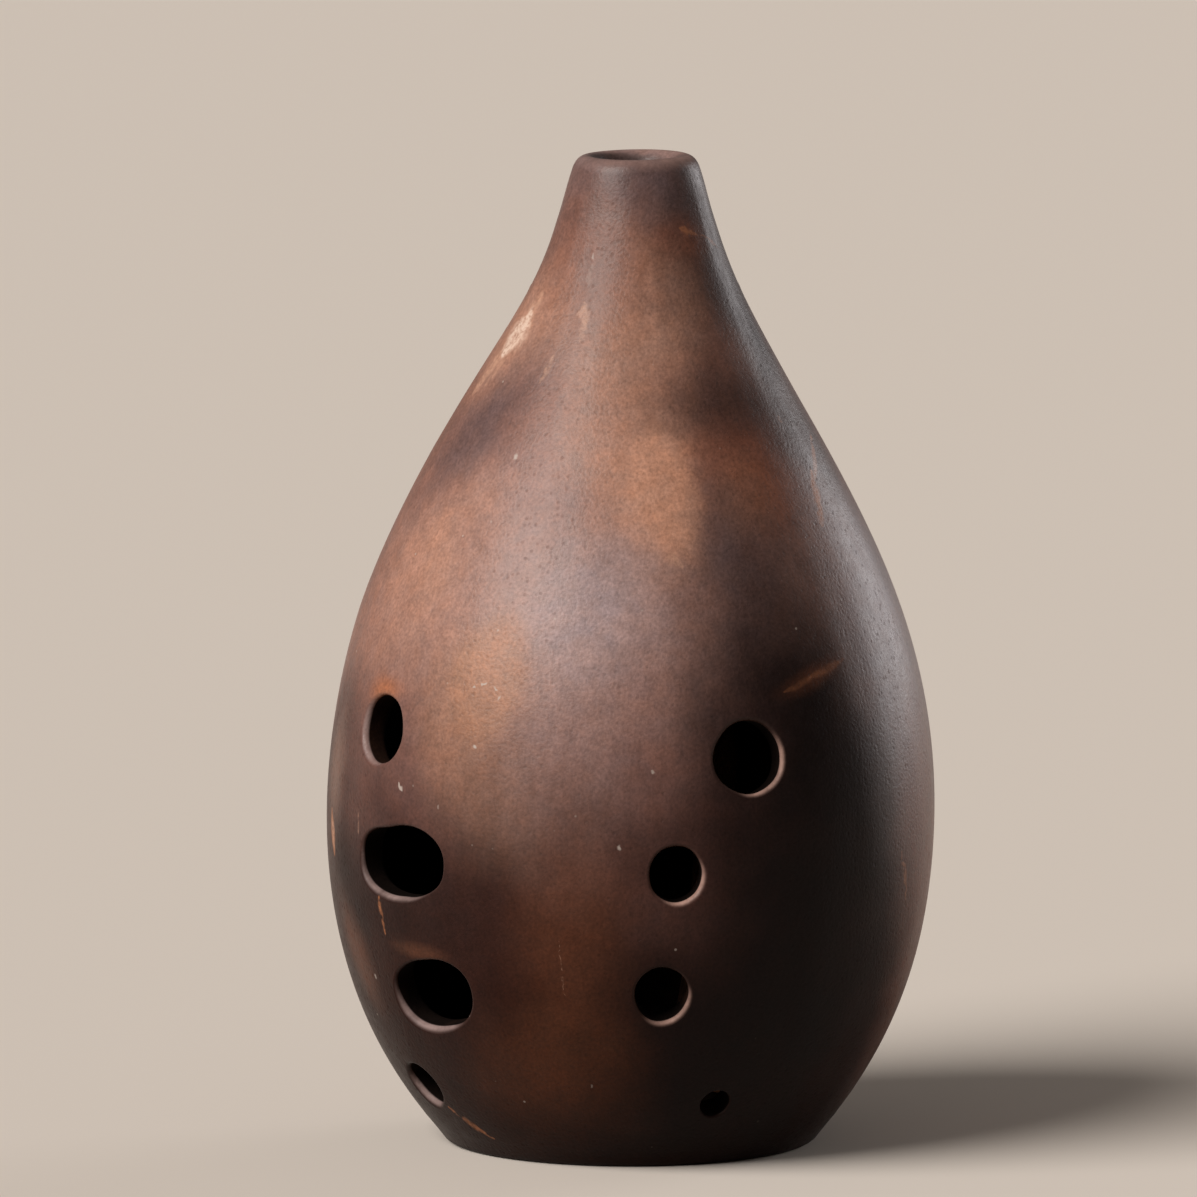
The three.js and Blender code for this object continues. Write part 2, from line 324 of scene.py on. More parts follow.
def smoothNormals(points, quads, isFlat, known):
    # a point's normal is the sum of its smooth faces' normals, unless the surface's own is known
    corners = points[np.maximum(quads, 0)]
    faceNormals = np.cross(corners[:, 2] - corners[:, 0], corners[:, 3] - corners[:, 1])
    triangle = quads[:, 3] < 0
    sides = np.cross(corners[:, 1] - corners[:, 0], corners[:, 2] - corners[:, 0])
    faceNormals[triangle] = sides[triangle]
    normals = np.zeros_like(points)
    chosen = ~isFlat
    for corner in range(4):
        np.add.at(normals, quads[chosen, corner], faceNormals[chosen])
    lengths = np.linalg.norm(normals, axis=1)[:, None]
    normals = np.where(lengths > 0, normals / np.maximum(lengths, np.finfo(float).tiny), (0, 0, 1))
    faceNormals /= np.linalg.norm(faceNormals, axis=1)[:, None]
    return np.where(np.isnan(known), normals, known), faceNormals


def putMesh(name, points, quads, isFlat, known, skins, edges, paint, material):
    # writes the arrays into a mesh in metres, with its own normals and painted attributes
    normals, faceNormals = smoothNormals(points, quads, isFlat, known)
    totals = np.where(quads[:, 3] < 0, 3, 4)
    starts = np.concatenate([[0], np.cumsum(totals)[:-1]])
    corners = quads[quads >= 0]
    mesh = bpy.data.meshes.new(name)
    mesh.vertices.add(len(points))
    mesh.vertices.foreach_set("co", (points * mm).astype(np.float32).ravel())
    mesh.loops.add(len(corners))
    mesh.loops.foreach_set("vertex_index", corners.astype(np.int32))
    mesh.polygons.add(len(quads))
    mesh.polygons.foreach_set("loop_start", starts.astype(np.int32))
    mesh.polygons.foreach_set("use_smooth", np.ones(len(quads), bool))
    mesh.update(calc_edges=True)
    perCorner = np.repeat(np.arange(len(quads)), totals)
    loopNormals = np.where(isFlat[perCorner][:, None], faceNormals[perCorner], normals[corners])
    mesh.normals_split_custom_set(loopNormals.tolist())
    for label, values in (("skin", skins), ("edge", edges)):
        mesh.attributes.new(label, "FLOAT", "POINT").data.foreach_set("value", values.astype(np.float32))
    colors = np.concatenate([paint(points), np.ones((len(points), 1))], axis=1).astype(np.float32)
    mesh.attributes.new("clouds", "FLOAT_COLOR", "POINT").data.foreach_set("color", colors.ravel())
    mesh.materials.append(material)
    piece = bpy.data.objects.new(name, mesh)
    bpy.context.scene.collection.objects.link(piece)
    print(name, "has", int((totals - 2).sum()), "triangles")
    return piece


# Paint: clouds of smoke and fire laid on the outside by place, in real sizes, with painted shade and painted
# sheen among them

firing = {
    "seed": 7,
    # how the clay darkens down the wall, from the lip to the foot: partly smoke and partly painted shade,
    # where less light reaches the lower wall
    "levels": (0, 12, 28, 42, 54, 64, 80, 112, 143),
    "shades": (
        (0.016, 0.0050, 0.0030),
        (0.020, 0.0060, 0.0035),
        (0.030, 0.0100, 0.0065),
        (0.048, 0.0190, 0.0140),
        (0.095, 0.0420, 0.0330),
        (0.170, 0.0820, 0.0650),
        (0.270, 0.1400, 0.1080),
        (0.240, 0.1150, 0.0850),
        (0.180, 0.0880, 0.0650),
    ),
    "levelDrift": 18,
    "levelDriftSize": 18,
    "levelDriftSeed": 47,
    "tan": (0.430, 0.230, 0.160),
    "sand": (0.620, 0.320, 0.210),
    "amber": (0.420, 0.205, 0.120),
    # rose is a clay color, and over the front's middle it is also a painted highlight, the lilac tint of the
    # key lamp's sheen
    "rose": (0.405, 0.260, 0.230),
    "orange": (0.480, 0.170, 0.070),
    "rust": (0.150, 0.048, 0.020),
    # paintedSheen is a painted highlight: the grey-lilac sheen of the lamps, laid on the right edge and left
    # of the middle
    "red": (0.250, 0.080, 0.040),
    "violet": (0.130, 0.085, 0.084),
    # smoke and sootAndShade are smoke-darkened clay, and are also laid as painted shade on the lower right
    # and the neck's right flank
    "paintedSheen": (0.370, 0.280, 0.280),
    "slate": (0.062, 0.044, 0.048),
    "smoke": (0.040, 0.021, 0.018),
    "sootAndShade": (0.008, 0.005, 0.005),
    "funnel": (0.070, 0.046, 0.042),
    "funnelRadii": (5.4, 6.7),  # the funnel's smoke is full inside the first and gone past the second
    "funnelBack": 0.26,
    "warpSize": 12,
    "warp": 0.56,
    "edge": 0.75,  # how soft a cloud ends, against its own half width
    "patchEdge": 0.3,
    "mottleSize": 26,
    "mottle": 0.28,
    "mottleLayers": 4,
    "mottleSeed": 27,
    "unsmoked": (0.20, 0.088, 0.045),
    "unsmokedPatchSize": 14,
    "unsmokedSeed": 90,
    "latticeSide": 32,
}

# the clouds over the rear: how many, of which colors, and the least and most of each value of a cloud
rearSmoke = {
    "count": 30,
    "colors": ("tan", "violet", "smoke", "red", "rose"),
    "turns": (112, 258),
    "heights": (6, 134),
    "halfWidths": (7, 17),
    "halfRises": (8, 22),
    "leans": (-25, 25),
    "strengths": (0.35, 0.8),
}

# each cloud: color, turn and height of its middle, half width and half rise, lean, strength
frontClouds = [
    # partly painted highlight: the key lamp's broad sheen over the middle of the front
    ("rose", 0, 82, 24, 20, 0, 0.5),
    ("rose", 8, 62, 9, 14, 0, 0.4),
    ("tan", -33, 86, 10, 12, 10, 0.6),
    ("amber", -15, 67.5, 8, 11, 0, 0.6),
    ("tan", -46, 80, 10, 12, 0, 0.35),
    ("tan", -10, 54, 8, 8, 0, 0.3),
    ("sand", 25, 98, 8, 10.5, 0, 0.75),
    ("sand", 32, 97, 6, 7, 0, 0.45),
    ("tan", 22, 122, 8, 11, -4, 0.75),
    ("tan", 17, 107, 8, 9, -4, 0.65),
    ("tan", -10, 121, 6, 7, 0, 0.4),
    ("tan", -40, 120, 7, 9, 0, 0.5),
    ("tan", -52, 116, 8, 7, 0, 0.6),
    ("violet", -38, 105, 12, 5.5, 50, 0.6),
    ("violet", -1, 128, 4, 8, 0, 0.5),
    ("smoke", 0, 128, 3, 5, 0, 0.1),
    ("violet", 46, 138, 7, 5, 0, 0.7),
    ("smoke", 56, 125, 5, 10, 0, 0.4),
    ("smoke", 57, 108, 12, 6, 5, 0.6),
    ("red", 52, 98, 9, 7, 0, 0.85),
    ("violet", 46, 86, 6, 12, 0, 0.6),
    # dark clouds on the lower right: smoke-darkened clay, and partly painted shade where the light falls away
    ("smoke", 54, 78, 13, 13, 15, 0.72),
    ("sootAndShade", 58, 58, 15, 17, 0, 0.9),
    ("sootAndShade", 52, 38, 16, 24, 0, 0.85),
    ("sootAndShade", 34, 16, 22, 13, 0, 0.7),
    ("sootAndShade", -33, 40, 14, 8, 0, 0.5),
    ("smoke", -60, 62, 9, 9, 0, 0.6),
    ("rust", 8, 40, 7, 20, 0, 0.4),
    ("violet", 86, 70, 10, 20, 0, 0.6),
    # painted highlight: the rim lamp's sheen on the right edge
    ("paintedSheen", 96, 73, 9, 15, 0, 0.75),
    # painted shade: the right flank of the neck, darker where the rim lamp lights it less
    ("smoke", 86, 127, 4.5, 16, 0, 0.85),
    ("smoke", 86, 104, 8, 9, 0, 0.6),
    ("red", 94, 48, 8, 22, 0, 0.6),
    ("orange", -38.5, 68.2, 3.6, 1.9, 0, 0.65),
    ("orange", -27, 31.6, 4, 1.0, -4, 0.13),
    ("tan", -58, 55, 4, 7, 0, 0.35),
    ("sootAndShade", -50, 40, 5, 8, 10, 0.5),
    ("rust", -50, 30, 3, 7, 25, 0.5),
    ("sand", 29, 98, 4, 6.5, 0, 0.6),
    ("smoke", 37, 64, 8, 8, 0, 0.35),
    ("sootAndShade", 24, 48, 6, 6, 0, 0.35),
    ("sootAndShade", 21, 30, 6, 6, 0, 0.35),
    ("violet", 41, 94, 3, 8, 0, 0.4),
    ("violet", 20, 141, 12, 2.5, 0, 0.5),
    ("red", 57, 132, 4, 2.5, 0, 0.4),
    ("sootAndShade", 55, 109.5, 8, 4, 12, 0.28),
    ("slate", -40, 104, 9, 3.5, 50, 0.3),
    ("rust", 60, 71.8, 5.5, 1.2, 18, 0.5),
    # painted highlight: more of the rim lamp's sheen on the right edge
    ("paintedSheen", 84, 80, 7, 15, 0, 0.55),
    # painted highlight: the key lamp's sheen left of the middle
    ("rose", 11, 83, 9, 9, 0, 0.7),
    ("paintedSheen", 12, 81, 7, 8, 0, 0.65),
    ("amber", 51, 97, 5, 5, 0, 0.22),
    ("red", -4, 127, 7, 8, 0, 0.35),
    # painted shade on the right flank of the neck
    ("sootAndShade", 88, 108, 6, 10, 0, 0.4),
    ("smoke", -25, 18, 9, 9, 0, 0.3),
    ("rust", 2, 14, 11, 8, 0, 0.45),
]

# patches that end more sharply, in the same order of values
frontPatches = [
    ("sand", 28, 98, 4.4, 8, 12, 0.5),
    ("amber", -11.5, 71, 5.5, 8.5, 0, 0.6),
    ("tan", -33, 87, 4, 7, 15, 0.25),
]


def valueNoise(points, size, seed):
    # chance values at the corners of cubes of a size, blended inside each cube by 3t^2 - 2t^3
    side = firing["latticeSide"]
    lattice = np.random.default_rng(seed).random((side, side, side))
    scaled = points / size
    base = np.floor(scaled).astype(int)
    part = scaled - base
    part = part * part * (3 - 2 * part)
    total = np.zeros(points.shape[:-1])
    for corner in np.ndindex(2, 2, 2):
        weight = np.prod(np.where(corner, part, 1 - part), axis=-1)
        x, y, z = np.moveaxis((base + corner) % side, -1, 0)
        total += weight * lattice[x, y, z]
    return total


def layeredNoise(points, size, seed, layers=3):
    # value noises about 0, added up, each of half the size and half the strength of the one before
    total = np.zeros(points.shape[:-1])
    for layer in range(layers):
        total += (valueNoise(points, size / 2**layer, seed + layer) - 0.5) / 2**layer
    return total


def cloudMask(points, turn, warp, cloud, edge):
    # a cloud's share at a point: its strength inside a leaning oval, falling to 0 over a soft edge, with the
    # distance from its middle counted in half widths and moved by the warp
    _, turnDegrees, height, halfWidth, halfRise, lean, strength = cloud
    radius = np.hypot(points[:, 0], points[:, 1])
    away = (turn - turnDegrees * degree + math.pi) % (2 * math.pi) - math.pi
    across = away * radius
    up = points[:, 2] - height
    leanCos, leanSin = math.cos(lean * degree), math.sin(lean * degree)
    x = (across * leanCos + up * leanSin) / halfWidth
    y = (up * leanCos - across * leanSin) / halfRise
    distance = np.hypot(x, y) + warp
    return strength * (1 - smoothStep(distance, 1 - edge, 1 + edge))


def rearClouds():
    # seeded clouds, each value an even chance between its least and its most
    rng = np.random.default_rng(firing["seed"])
    parts = ("turns", "heights", "halfWidths", "halfRises", "leans", "strengths")
    clouds = []
    for kind in rng.choice(rearSmoke["colors"], rearSmoke["count"]):
        clouds.append((str(kind), *[rng.uniform(*rearSmoke[part]) for part in parts]))
    return clouds


def smokedPaint(points):
    # the color of the height, darker towards the foot partly as painted shade, its levels drifting with
    # noise, then each cloud mixed in over it, some as painted shade and some as painted sheen, the funnel
    # smoked dark, and a slow change of tone
    turn = np.arctan2(points[:, 0], -points[:, 1])
    warp = layeredNoise(points, firing["warpSize"], firing["seed"]) * firing["warp"]
    drift = layeredNoise(points, firing["levelDriftSize"], firing["levelDriftSeed"])
    level = points[:, 2] + drift * firing["levelDrift"]
    shades = np.array(firing["shades"])
    color = np.stack([np.interp(level, firing["levels"], shades[:, i]) for i in range(3)], axis=-1)
    for clouds, edge in ((rearClouds() + frontClouds, firing["edge"]), (frontPatches, firing["patchEdge"])):
        for cloud in clouds:
            mask = cloudMask(points, turn, warp, cloud, edge)[:, None]
            color += (np.array(firing[cloud[0]]) - color) * mask
    fromAxis = np.hypot(points[:, 0], points[:, 1] + firing["funnelBack"])
    funnel = (1 - smoothStep(fromAxis, *firing["funnelRadii"])) * (points[:, 2] > vessel["jointHeight"])
    color += (np.array(firing["funnel"]) - color) * funnel[:, None]
    mottle = layeredNoise(points, firing["mottleSize"], firing["mottleSeed"], firing["mottleLayers"])
    return color * (1 + mottle * firing["mottle"])[:, None]


def rawPaint(points):
    # the same clay unsmoked: an even orange-brown with slow darker patches
    shade = layeredNoise(points, firing["unsmokedPatchSize"], firing["unsmokedSeed"])
    return np.array(firing["unsmoked"]) * (1 + shade)[:, None]


# Materials


def fillInputs(tree, node, inputs):
    # an input that is a socket is linked, and any other is set
    for key, value in inputs.items():
        if isinstance(value, bpy.types.NodeSocket):
            tree.links.new(value, node.inputs[key])
        else:
            node.inputs[key].default_value = value


def addNode(tree, kind, inputs=None, **settings):
    # a node with its settings made and its inputs filled in
    node = tree.nodes.new(kind)
    for label, value in settings.items():
        setattr(node, label, value)
    fillInputs(tree, node, inputs or {})
    return node


def mathNode(tree, operation, first, second=0.0, third=0.0, clamp=False):
    # one piece of arithmetic on up to three numbers or sockets
    inputs = {0: first, 1: second, 2: third}
    return addNode(tree, "ShaderNodeMath", inputs, operation=operation, use_clamp=clamp).outputs[0]


def rangeNode(tree, value, low, high, start, end, smooth=False):
    # start up to the low value, end from the high one, and straight or by 3t^2 - 2t^3 between them
    inputs = {"Value": value, "From Min": low, "From Max": high, "To Min": start, "To Max": end}
    kind = "SMOOTHSTEP" if smooth else "LINEAR"
    return addNode(tree, "ShaderNodeMapRange", inputs, interpolation_type=kind).outputs["Result"]


def mixColor(tree, share, first, second, blend="MIX"):
    # the first color with a share of the second laid over it; 6, 7 and 2 are the node's color sockets
    inputs = {0: share, 6: first, 7: second}
    return addNode(tree, "ShaderNodeMix", inputs, data_type="RGBA", blend_type=blend).outputs[2]


def mixValue(tree, share, first, second):
    # the first number with a share of the second laid over it
    return addNode(tree, "ShaderNodeMix", {0: share, 2: first, 3: second}, data_type="FLOAT").outputs[0]


def noiseNode(tree, place, size, detail, roughness, stretch=None):
    # noise with features of about a size in metres, drawn out along Z by the stretch
    if stretch:
        place = addNode(tree, "ShaderNodeMapping", {"Vector": place, "Scale": (1, 1, 1 / stretch)}).outputs[0]
    inputs = {"Vector": place, "Scale": 1 / size, "Detail": detail, "Roughness": roughness}
    return addNode(tree, "ShaderNodeTexNoise", inputs).outputs["Fac"]


def scatterNodes(tree, place, size, channel):
    # cells of about a size: how far a point lies from its cell's middle, and a chance value of the cell
    cells = addNode(tree, "ShaderNodeTexVoronoi", {"Vector": place, "Scale": 1 / size})
    chance = addNode(tree, "ShaderNodeSeparateColor", {"Color": cells.outputs["Color"]}).outputs[channel]
    return cells.outputs["Distance"], chance


def attributeNode(tree, label, output="Fac"):
    # a value painted on the mesh's points
    return addNode(tree, "ShaderNodeAttribute", attribute_name=label).outputs[output]


def greyNode(tree, tone):
    # a color with the tone in all three channels
    inputs = {"Red": tone, "Green": tone, "Blue": tone}
    return addNode(tree, "ShaderNodeCombineColor", inputs).outputs[0]


def pitNode(tree, place):
    # 0 in the middle of a pit and 1 between the pits: one pit in each cell, of its own chance depth
    away, chance = scatterNodes(tree, place, smokedClay["pitSize"], "Red")
    pit = rangeNode(tree, away, *smokedClay["pitRadii"], 1.0, 0.0, True)
    depth = rangeNode(tree, chance, *smokedClay["pitChances"], 0.0, 1.0)
    return mathNode(tree, "SUBTRACT", 1.0, mathNode(tree, "MULTIPLY", pit, depth))


def newMaterial(name):
    # an empty material with its shader and its place in the piece's own coordinates
    material = bpy.data.materials.new(name)
    material.use_nodes = True
    tree = material.node_tree
    tree.nodes.clear()
    output = addNode(tree, "ShaderNodeOutputMaterial")
    shader = addNode(tree, "ShaderNodeBsdfPrincipled")
    tree.links.new(shader.outputs[0], output.inputs["Surface"])
    place = addNode(tree, "ShaderNodeTexCoord").outputs["Object"]
    return material, tree, shader, place


def strokeGroup():
    # share of a stroke at a point: 1 near the line from its start and 0 past its width,
    # which narrows towards both ends as 1 - taper x (2t - 1)^2
    group = bpy.data.node_groups.new("strokeShare", "ShaderNodeTree")
    for label, kind in (
        ("Place", "NodeSocketVector"),
        ("Start", "NodeSocketVector"),
        ("Along", "NodeSocketVector"),
        ("PerLengthSquared", "NodeSocketFloat"),
        ("Width", "NodeSocketFloat"),
        ("Taper", "NodeSocketFloat"),
    ):
        group.interface.new_socket(label, in_out="INPUT", socket_type=kind)
    group.interface.new_socket("Share", in_out="OUTPUT", socket_type="NodeSocketFloat")
    given = group.nodes.new("NodeGroupInput").outputs
    result = group.nodes.new("NodeGroupOutput")

    def vectorNode(operation, first, second):
        return addNode(group, "ShaderNodeVectorMath", {0: first, 1: second}, operation=operation)

    fromStart = vectorNode("SUBTRACT", given["Place"], given["Start"]).outputs[0]
    reach = vectorNode("DOT_PRODUCT", fromStart, given["Along"]).outputs["Value"]
    share = mathNode(group, "MULTIPLY", reach, given["PerLengthSquared"], clamp=True)
    inputs = {0: given["Along"], "Scale": share}
    onLine = addNode(group, "ShaderNodeVectorMath", inputs, operation="SCALE").outputs[0]
    away = vectorNode("DISTANCE", fromStart, onLine).outputs["Value"]
    swing = mathNode(group, "MULTIPLY_ADD", share, 2.0, -1.0)
    narrow = mathNode(group, "MULTIPLY", mathNode(group, "MULTIPLY", swing, swing), given["Taper"])
    width = mathNode(group, "MULTIPLY", given["Width"], mathNode(group, "SUBTRACT", 1.0, narrow))
    ratio = mathNode(group, "DIVIDE", away, width)
    group.links.new(rangeNode(group, ratio, marks["core"], 1.0, 1.0, 0.0, True), result.inputs["Share"])
    return group


marks = {
    "scuff": (0.66, 0.38, 0.26, 1),
    "ember": (0.55, 0.22, 0.10, 1),
    "cream": (0.82, 0.62, 0.50, 1),
    "dust": (0.60, 0.52, 0.46, 1),
    "core": 0.25,  # share of a mark's half width that keeps its full strength
    "taper": 0.65,
    "wobble": 0.002,
    "wobbleNoise": (0.002, 2, 0.5),
    # how much of a mark is left where it is broken up, in the order in which the marks are laid on
    "leastShare": {"ember": 0.45, "scuff": 0.15, "cream": 0.15, "dust": 1.0},
    "breakNoise": (0.0009, 4, 0.72),
    "breakLevels": (0.38, 0.60),
    "fleckSize": 0.0042,
    "fleckRadii": (0.025, 0.06),
    "fleckChances": (0.55, 0.95),
    "fleckStrength": 0.55,
}

# each mark: color, turn and height where it starts and ends, half width, strength
strokes = [
    ("scuff", -41.5, 121.0, -48.5, 115.0, 4.2, 0.85),
    ("scuff", -40.4, 123.5, -43.5, 119.5, 1.9, 0.6),
    ("scuff", -47.0, 117.0, -56.0, 109.5, 2.1, 0.7),
    ("scuff", -43.0, 115.8, -49.0, 110.0, 1.0, 0.4),
    ("cream", -42.5, 120.6, -48.0, 115.0, 3.6, 1.0),
    ("scuff", -9.5, 122.8, -5.5, 119.4, 1.1, 0.5),
    ("scuff", -6.5, 120.2, -4.6, 118.0, 0.8, 0.45),
    ("scuff", -16.4, 115.4, -17.6, 112.3, 0.9, 0.42),
    ("dust", -9.6, 128.2, -9.4, 125.0, 0.7, 0.12),
    ("dust", -9.2, 129.8, -9.2, 129.5, 0.4, 0.5),
    ("ember", 51.1, 133.3, 68.1, 132.2, 0.6, 0.55),
    ("ember", 68.1, 132.2, 85.5, 130.0, 0.4, 0.5),
    ("ember", 95.0, 103.6, 81.0, 97.5, 0.9, 0.9),
    ("ember", 81.5, 99.0, 75.0, 91.5, 1.3, 1.0),
    ("scuff", 76.8, 106.6, 77.0, 105.6, 0.7, 0.6),
    ("ember", 50.5, 69.6, 60.5, 71.9, 0.7, 0.22),
    ("ember", 57.0, 71.2, 67.5, 73.3, 0.9, 0.35),
    ("ember", 81.6, 44.6, 85.0, 37.3, 0.6, 0.6),
    ("scuff", -59.3, 47.8, -57.8, 44.0, 1.6, 0.5),
    ("ember", -59.8, 49.0, -57.6, 43.0, 1.8, 0.8),
    ("scuff", -43.9, 50.3, -43.8, 47.3, 0.4, 0.45),
    ("ember", -37.0, 38.8, -36.3, 35.6, 0.7, 0.8),
    ("ember", -36.6, 36.6, -36.0, 33.2, 0.4, 0.7),
    ("ember", -35.4, 7.3, -23.5, 3.2, 0.9, 0.8),
    ("dust", -14.1, 70.4, -12.4, 70.9, 0.28, 0.8),
    ("dust", -12.4, 70.9, -10.0, 70.7, 0.28, 0.85),
    ("dust", -10.0, 70.7, -8.3, 69.8, 0.28, 0.8),
    ("dust", -8.3, 69.8, -7.4, 68.3, 0.24, 0.7),
    ("dust", -30.3, 55.8, -29.4, 54.5, 0.6, 0.8),
    ("dust", -12.2, 62.1, -12.2, 62.0, 0.45, 0.9),
    ("dust", -19.8, 53.2, -19.8, 53.0, 0.3, 0.3),
    ("dust", 17.1, 48.9, 17.1, 48.7, 0.42, 0.75),
    ("dust", -7.9, 47.6, -7.9, 47.4, 0.35, 0.6),
    ("dust", 22.7, 59.3, 22.7, 59.1, 0.35, 0.6),
    ("dust", 9.8, 13.2, 9.8, 13.0, 0.3, 0.6),
    ("dust", -43.4, 26.6, -43.4, 26.3, 0.35, 0.6),
    ("dust", -17.6, 102.0, -17.6, 101.8, 0.5, 0.7),
    ("scuff", 28.3, 89.3, 30.8, 87.4, 1.0, 0.5),
    ("scuff", 5.2, 35.0, 6.0, 26.2, 0.2, 0.4),
    ("scuff", 6.0, 26.2, 8.5, 7.6, 0.2, 0.4),
]


def placeOnClay(turnDegrees, height):
    # the place on the outside at a turn and a height, in metres
    return Vector(outsidePoint(np.array(turnDegrees * degree), np.array(arcAt(height, 0))) * mm)


def addStrokes(tree, place, color):
    # lays the marks over a color: all of one color take the strongest share, broken up by fine noise,
    # and then a few pale flecks
    group = strokeGroup()
    drift = mathNode(tree, "SUBTRACT", noiseNode(tree, place, *marks["wobbleNoise"]), 0.5)
    shift = mathNode(tree, "MULTIPLY", drift, marks["wobble"])
    moved = addNode(tree, "ShaderNodeVectorMath", {0: place, 1: shift}, operation="ADD").outputs[0]
    patches = noiseNode(tree, place, *marks["breakNoise"])
    for kind, leastShare in marks["leastShare"].items():
        strongest = 0.0
        for label, startTurn, startHeight, endTurn, endHeight, halfWidth, strength in strokes:
            if label != kind:
                continue
            start = placeOnClay(startTurn, startHeight)
            along = placeOnClay(endTurn, endHeight) - start
            inputs = {
                "Place": moved,
                "Start": start,
                "Along": along,
                "PerLengthSquared": 1 / along.length_squared,
                "Width": halfWidth * mm,
                "Taper": marks["taper"] if along.length > halfWidth * mm else 0,
            }
            node = addNode(tree, "ShaderNodeGroup", node_tree=group)
            fillInputs(tree, node, inputs)
            share = mathNode(tree, "MULTIPLY", node.outputs[0], strength)
            strongest = mathNode(tree, "MAXIMUM", strongest, share)
        broken = rangeNode(tree, patches, *marks["breakLevels"], leastShare, 1.0)
        color = mixColor(tree, mathNode(tree, "MULTIPLY", strongest, broken), color, marks[kind])
    away, chance = scatterNodes(tree, place, marks["fleckSize"], "Green")
    chosen = rangeNode(tree, chance, *marks["fleckChances"], 0.0, marks["fleckStrength"])
    fleck = rangeNode(tree, away, *marks["fleckRadii"], 1.0, 0.0, True)
    return mixColor(tree, mathNode(tree, "MULTIPLY", fleck, chosen), color, marks["dust"])


smokedClay = {
    # each noise: the size of its features, detail and roughness, and how far the burnishing is drawn out
    "noises": {
        "mottle": (0.004, 5, 0.62),
        "grain": (0.00048, 2, 0.55),
        "burnish": (0.0011, 3, 0.55, 14),
        "blotch": (0.0022, 4, 0.62),
        "hue": (0.00308, 4, 0.6),
        "rawPatch": (0.011, 3, 0.5),
    },
    "pitSize": 0.0008,
    "pitRadii": (0.10, 0.50),
    "pitChances": (0.25, 1.0),
    # a low and a high level of each pattern, and the tone at each
    "tones": {
        "mottle": (0.3, 0.7, 0.93, 1.07),
        "pits": (0.0, 1.0, 0.86, 1.03),
        "grain": (0.3, 0.7, 0.82, 1.18),
        "burnish": (0.3, 0.7, 0.94, 1.06),
        "blotch": (0.35, 0.65, 0.92, 1.08),
    },
    # the same for the hue, the raw patches, the wear of the rims and what is added to the roughness
    "hues": (0.36, 0.64, 0.0, 1.0),
    "rawPatches": (0.5, 0.66, 0.0, 1.0),
    "wear": (0.3, 0.6, 0.35, 1.0),
    "blotchShine": (0.3, 0.7, -0.04, 0.05),
    "pitShine": (0.0, 1.0, 0.12, -0.01),
    # strength and depth in metres of each pattern's relief
    "reliefs": {"pits": (1.0, 0.00002), "grain": (0.45, 0.0001), "burnish": (0.06, 0.0004)},
    "warmHue": (1.03, 0.99, 0.96, 1),
    "coolHue": (0.95, 0.98, 1.02, 1),
    # rim marks, lilac on the left half and pale orange on the right: partly wear, partly painted highlight
    # where the rounding faces the lamps
    "wearAndHighlightLeft": (0.40, 0.29, 0.27, 1),
    "wearAndHighlightRight": (0.62, 0.39, 0.32, 1),
    "wearAndHighlightBlend": 0.005,
    # near-black of the inside and the holes' walls, with dim brown patches: partly smoke-blackened clay,
    # partly painted shade in the holes
    "raw": (0.006, 0.0035, 0.0027, 1),
    "rawPatch": (0.024, 0.011, 0.007, 1),
    "roughness": 0.40,
    "rawRoughness": 0.88,
    "specular": 0.33,
    "sootSpecular": 0.08,
    "sootGreens": (0.004, 0.07),  # the clouds' green in full soot and where there is none
    "rawSpecular": 0.05,
}


def smokedColor(tree, place, clouds, skin, patterns):
    # the painted clouds times the tone of each pattern and a faint hue, with the marks over them and the
    # rims worn pale and partly given a painted highlight, and near-black clay, partly painted shade, on the
    # inside where the skin ends
    tone = 1.0
    for label, levels in smokedClay["tones"].items():
        tone = mathNode(tree, "MULTIPLY", tone, rangeNode(tree, patterns[label], *levels))
    tone = greyNode(tree, tone)
    warmth = rangeNode(tree, patterns["hue"], *smokedClay["hues"])
    hue = mixColor(tree, warmth, smokedClay["coolHue"], smokedClay["warmHue"])
    color = mixColor(tree, 1.0, mixColor(tree, 1.0, clouds, tone, "MULTIPLY"), hue, "MULTIPLY")
    color = addStrokes(tree, place, color)
    # the rims' pale mark, lilac on the left and orange on the right: partly wear, partly painted highlight
    across = addNode(tree, "ShaderNodeSeparateXYZ", {"Vector": place}).outputs["X"]
    side = rangeNode(tree, across, -smokedClay["wearAndHighlightBlend"], smokedClay["wearAndHighlightBlend"], 0.0, 1.0)
    wearAndHighlight = mixColor(tree, side, smokedClay["wearAndHighlightLeft"], smokedClay["wearAndHighlightRight"])
    uneven = rangeNode(tree, patterns["mottle"], *smokedClay["wear"])
    color = mixColor(tree, mathNode(tree, "MULTIPLY", attributeNode(tree, "edge"), uneven), color, wearAndHighlight)
    # the inside's near-black is partly painted shade
    patches = rangeNode(tree, patterns["rawPatch"], *smokedClay["rawPatches"])
    inside = mixColor(tree, patches, smokedClay["raw"], smokedClay["rawPatch"])
    return mixColor(tree, skin, mixColor(tree, 1.0, inside, tone, "MULTIPLY"), color)


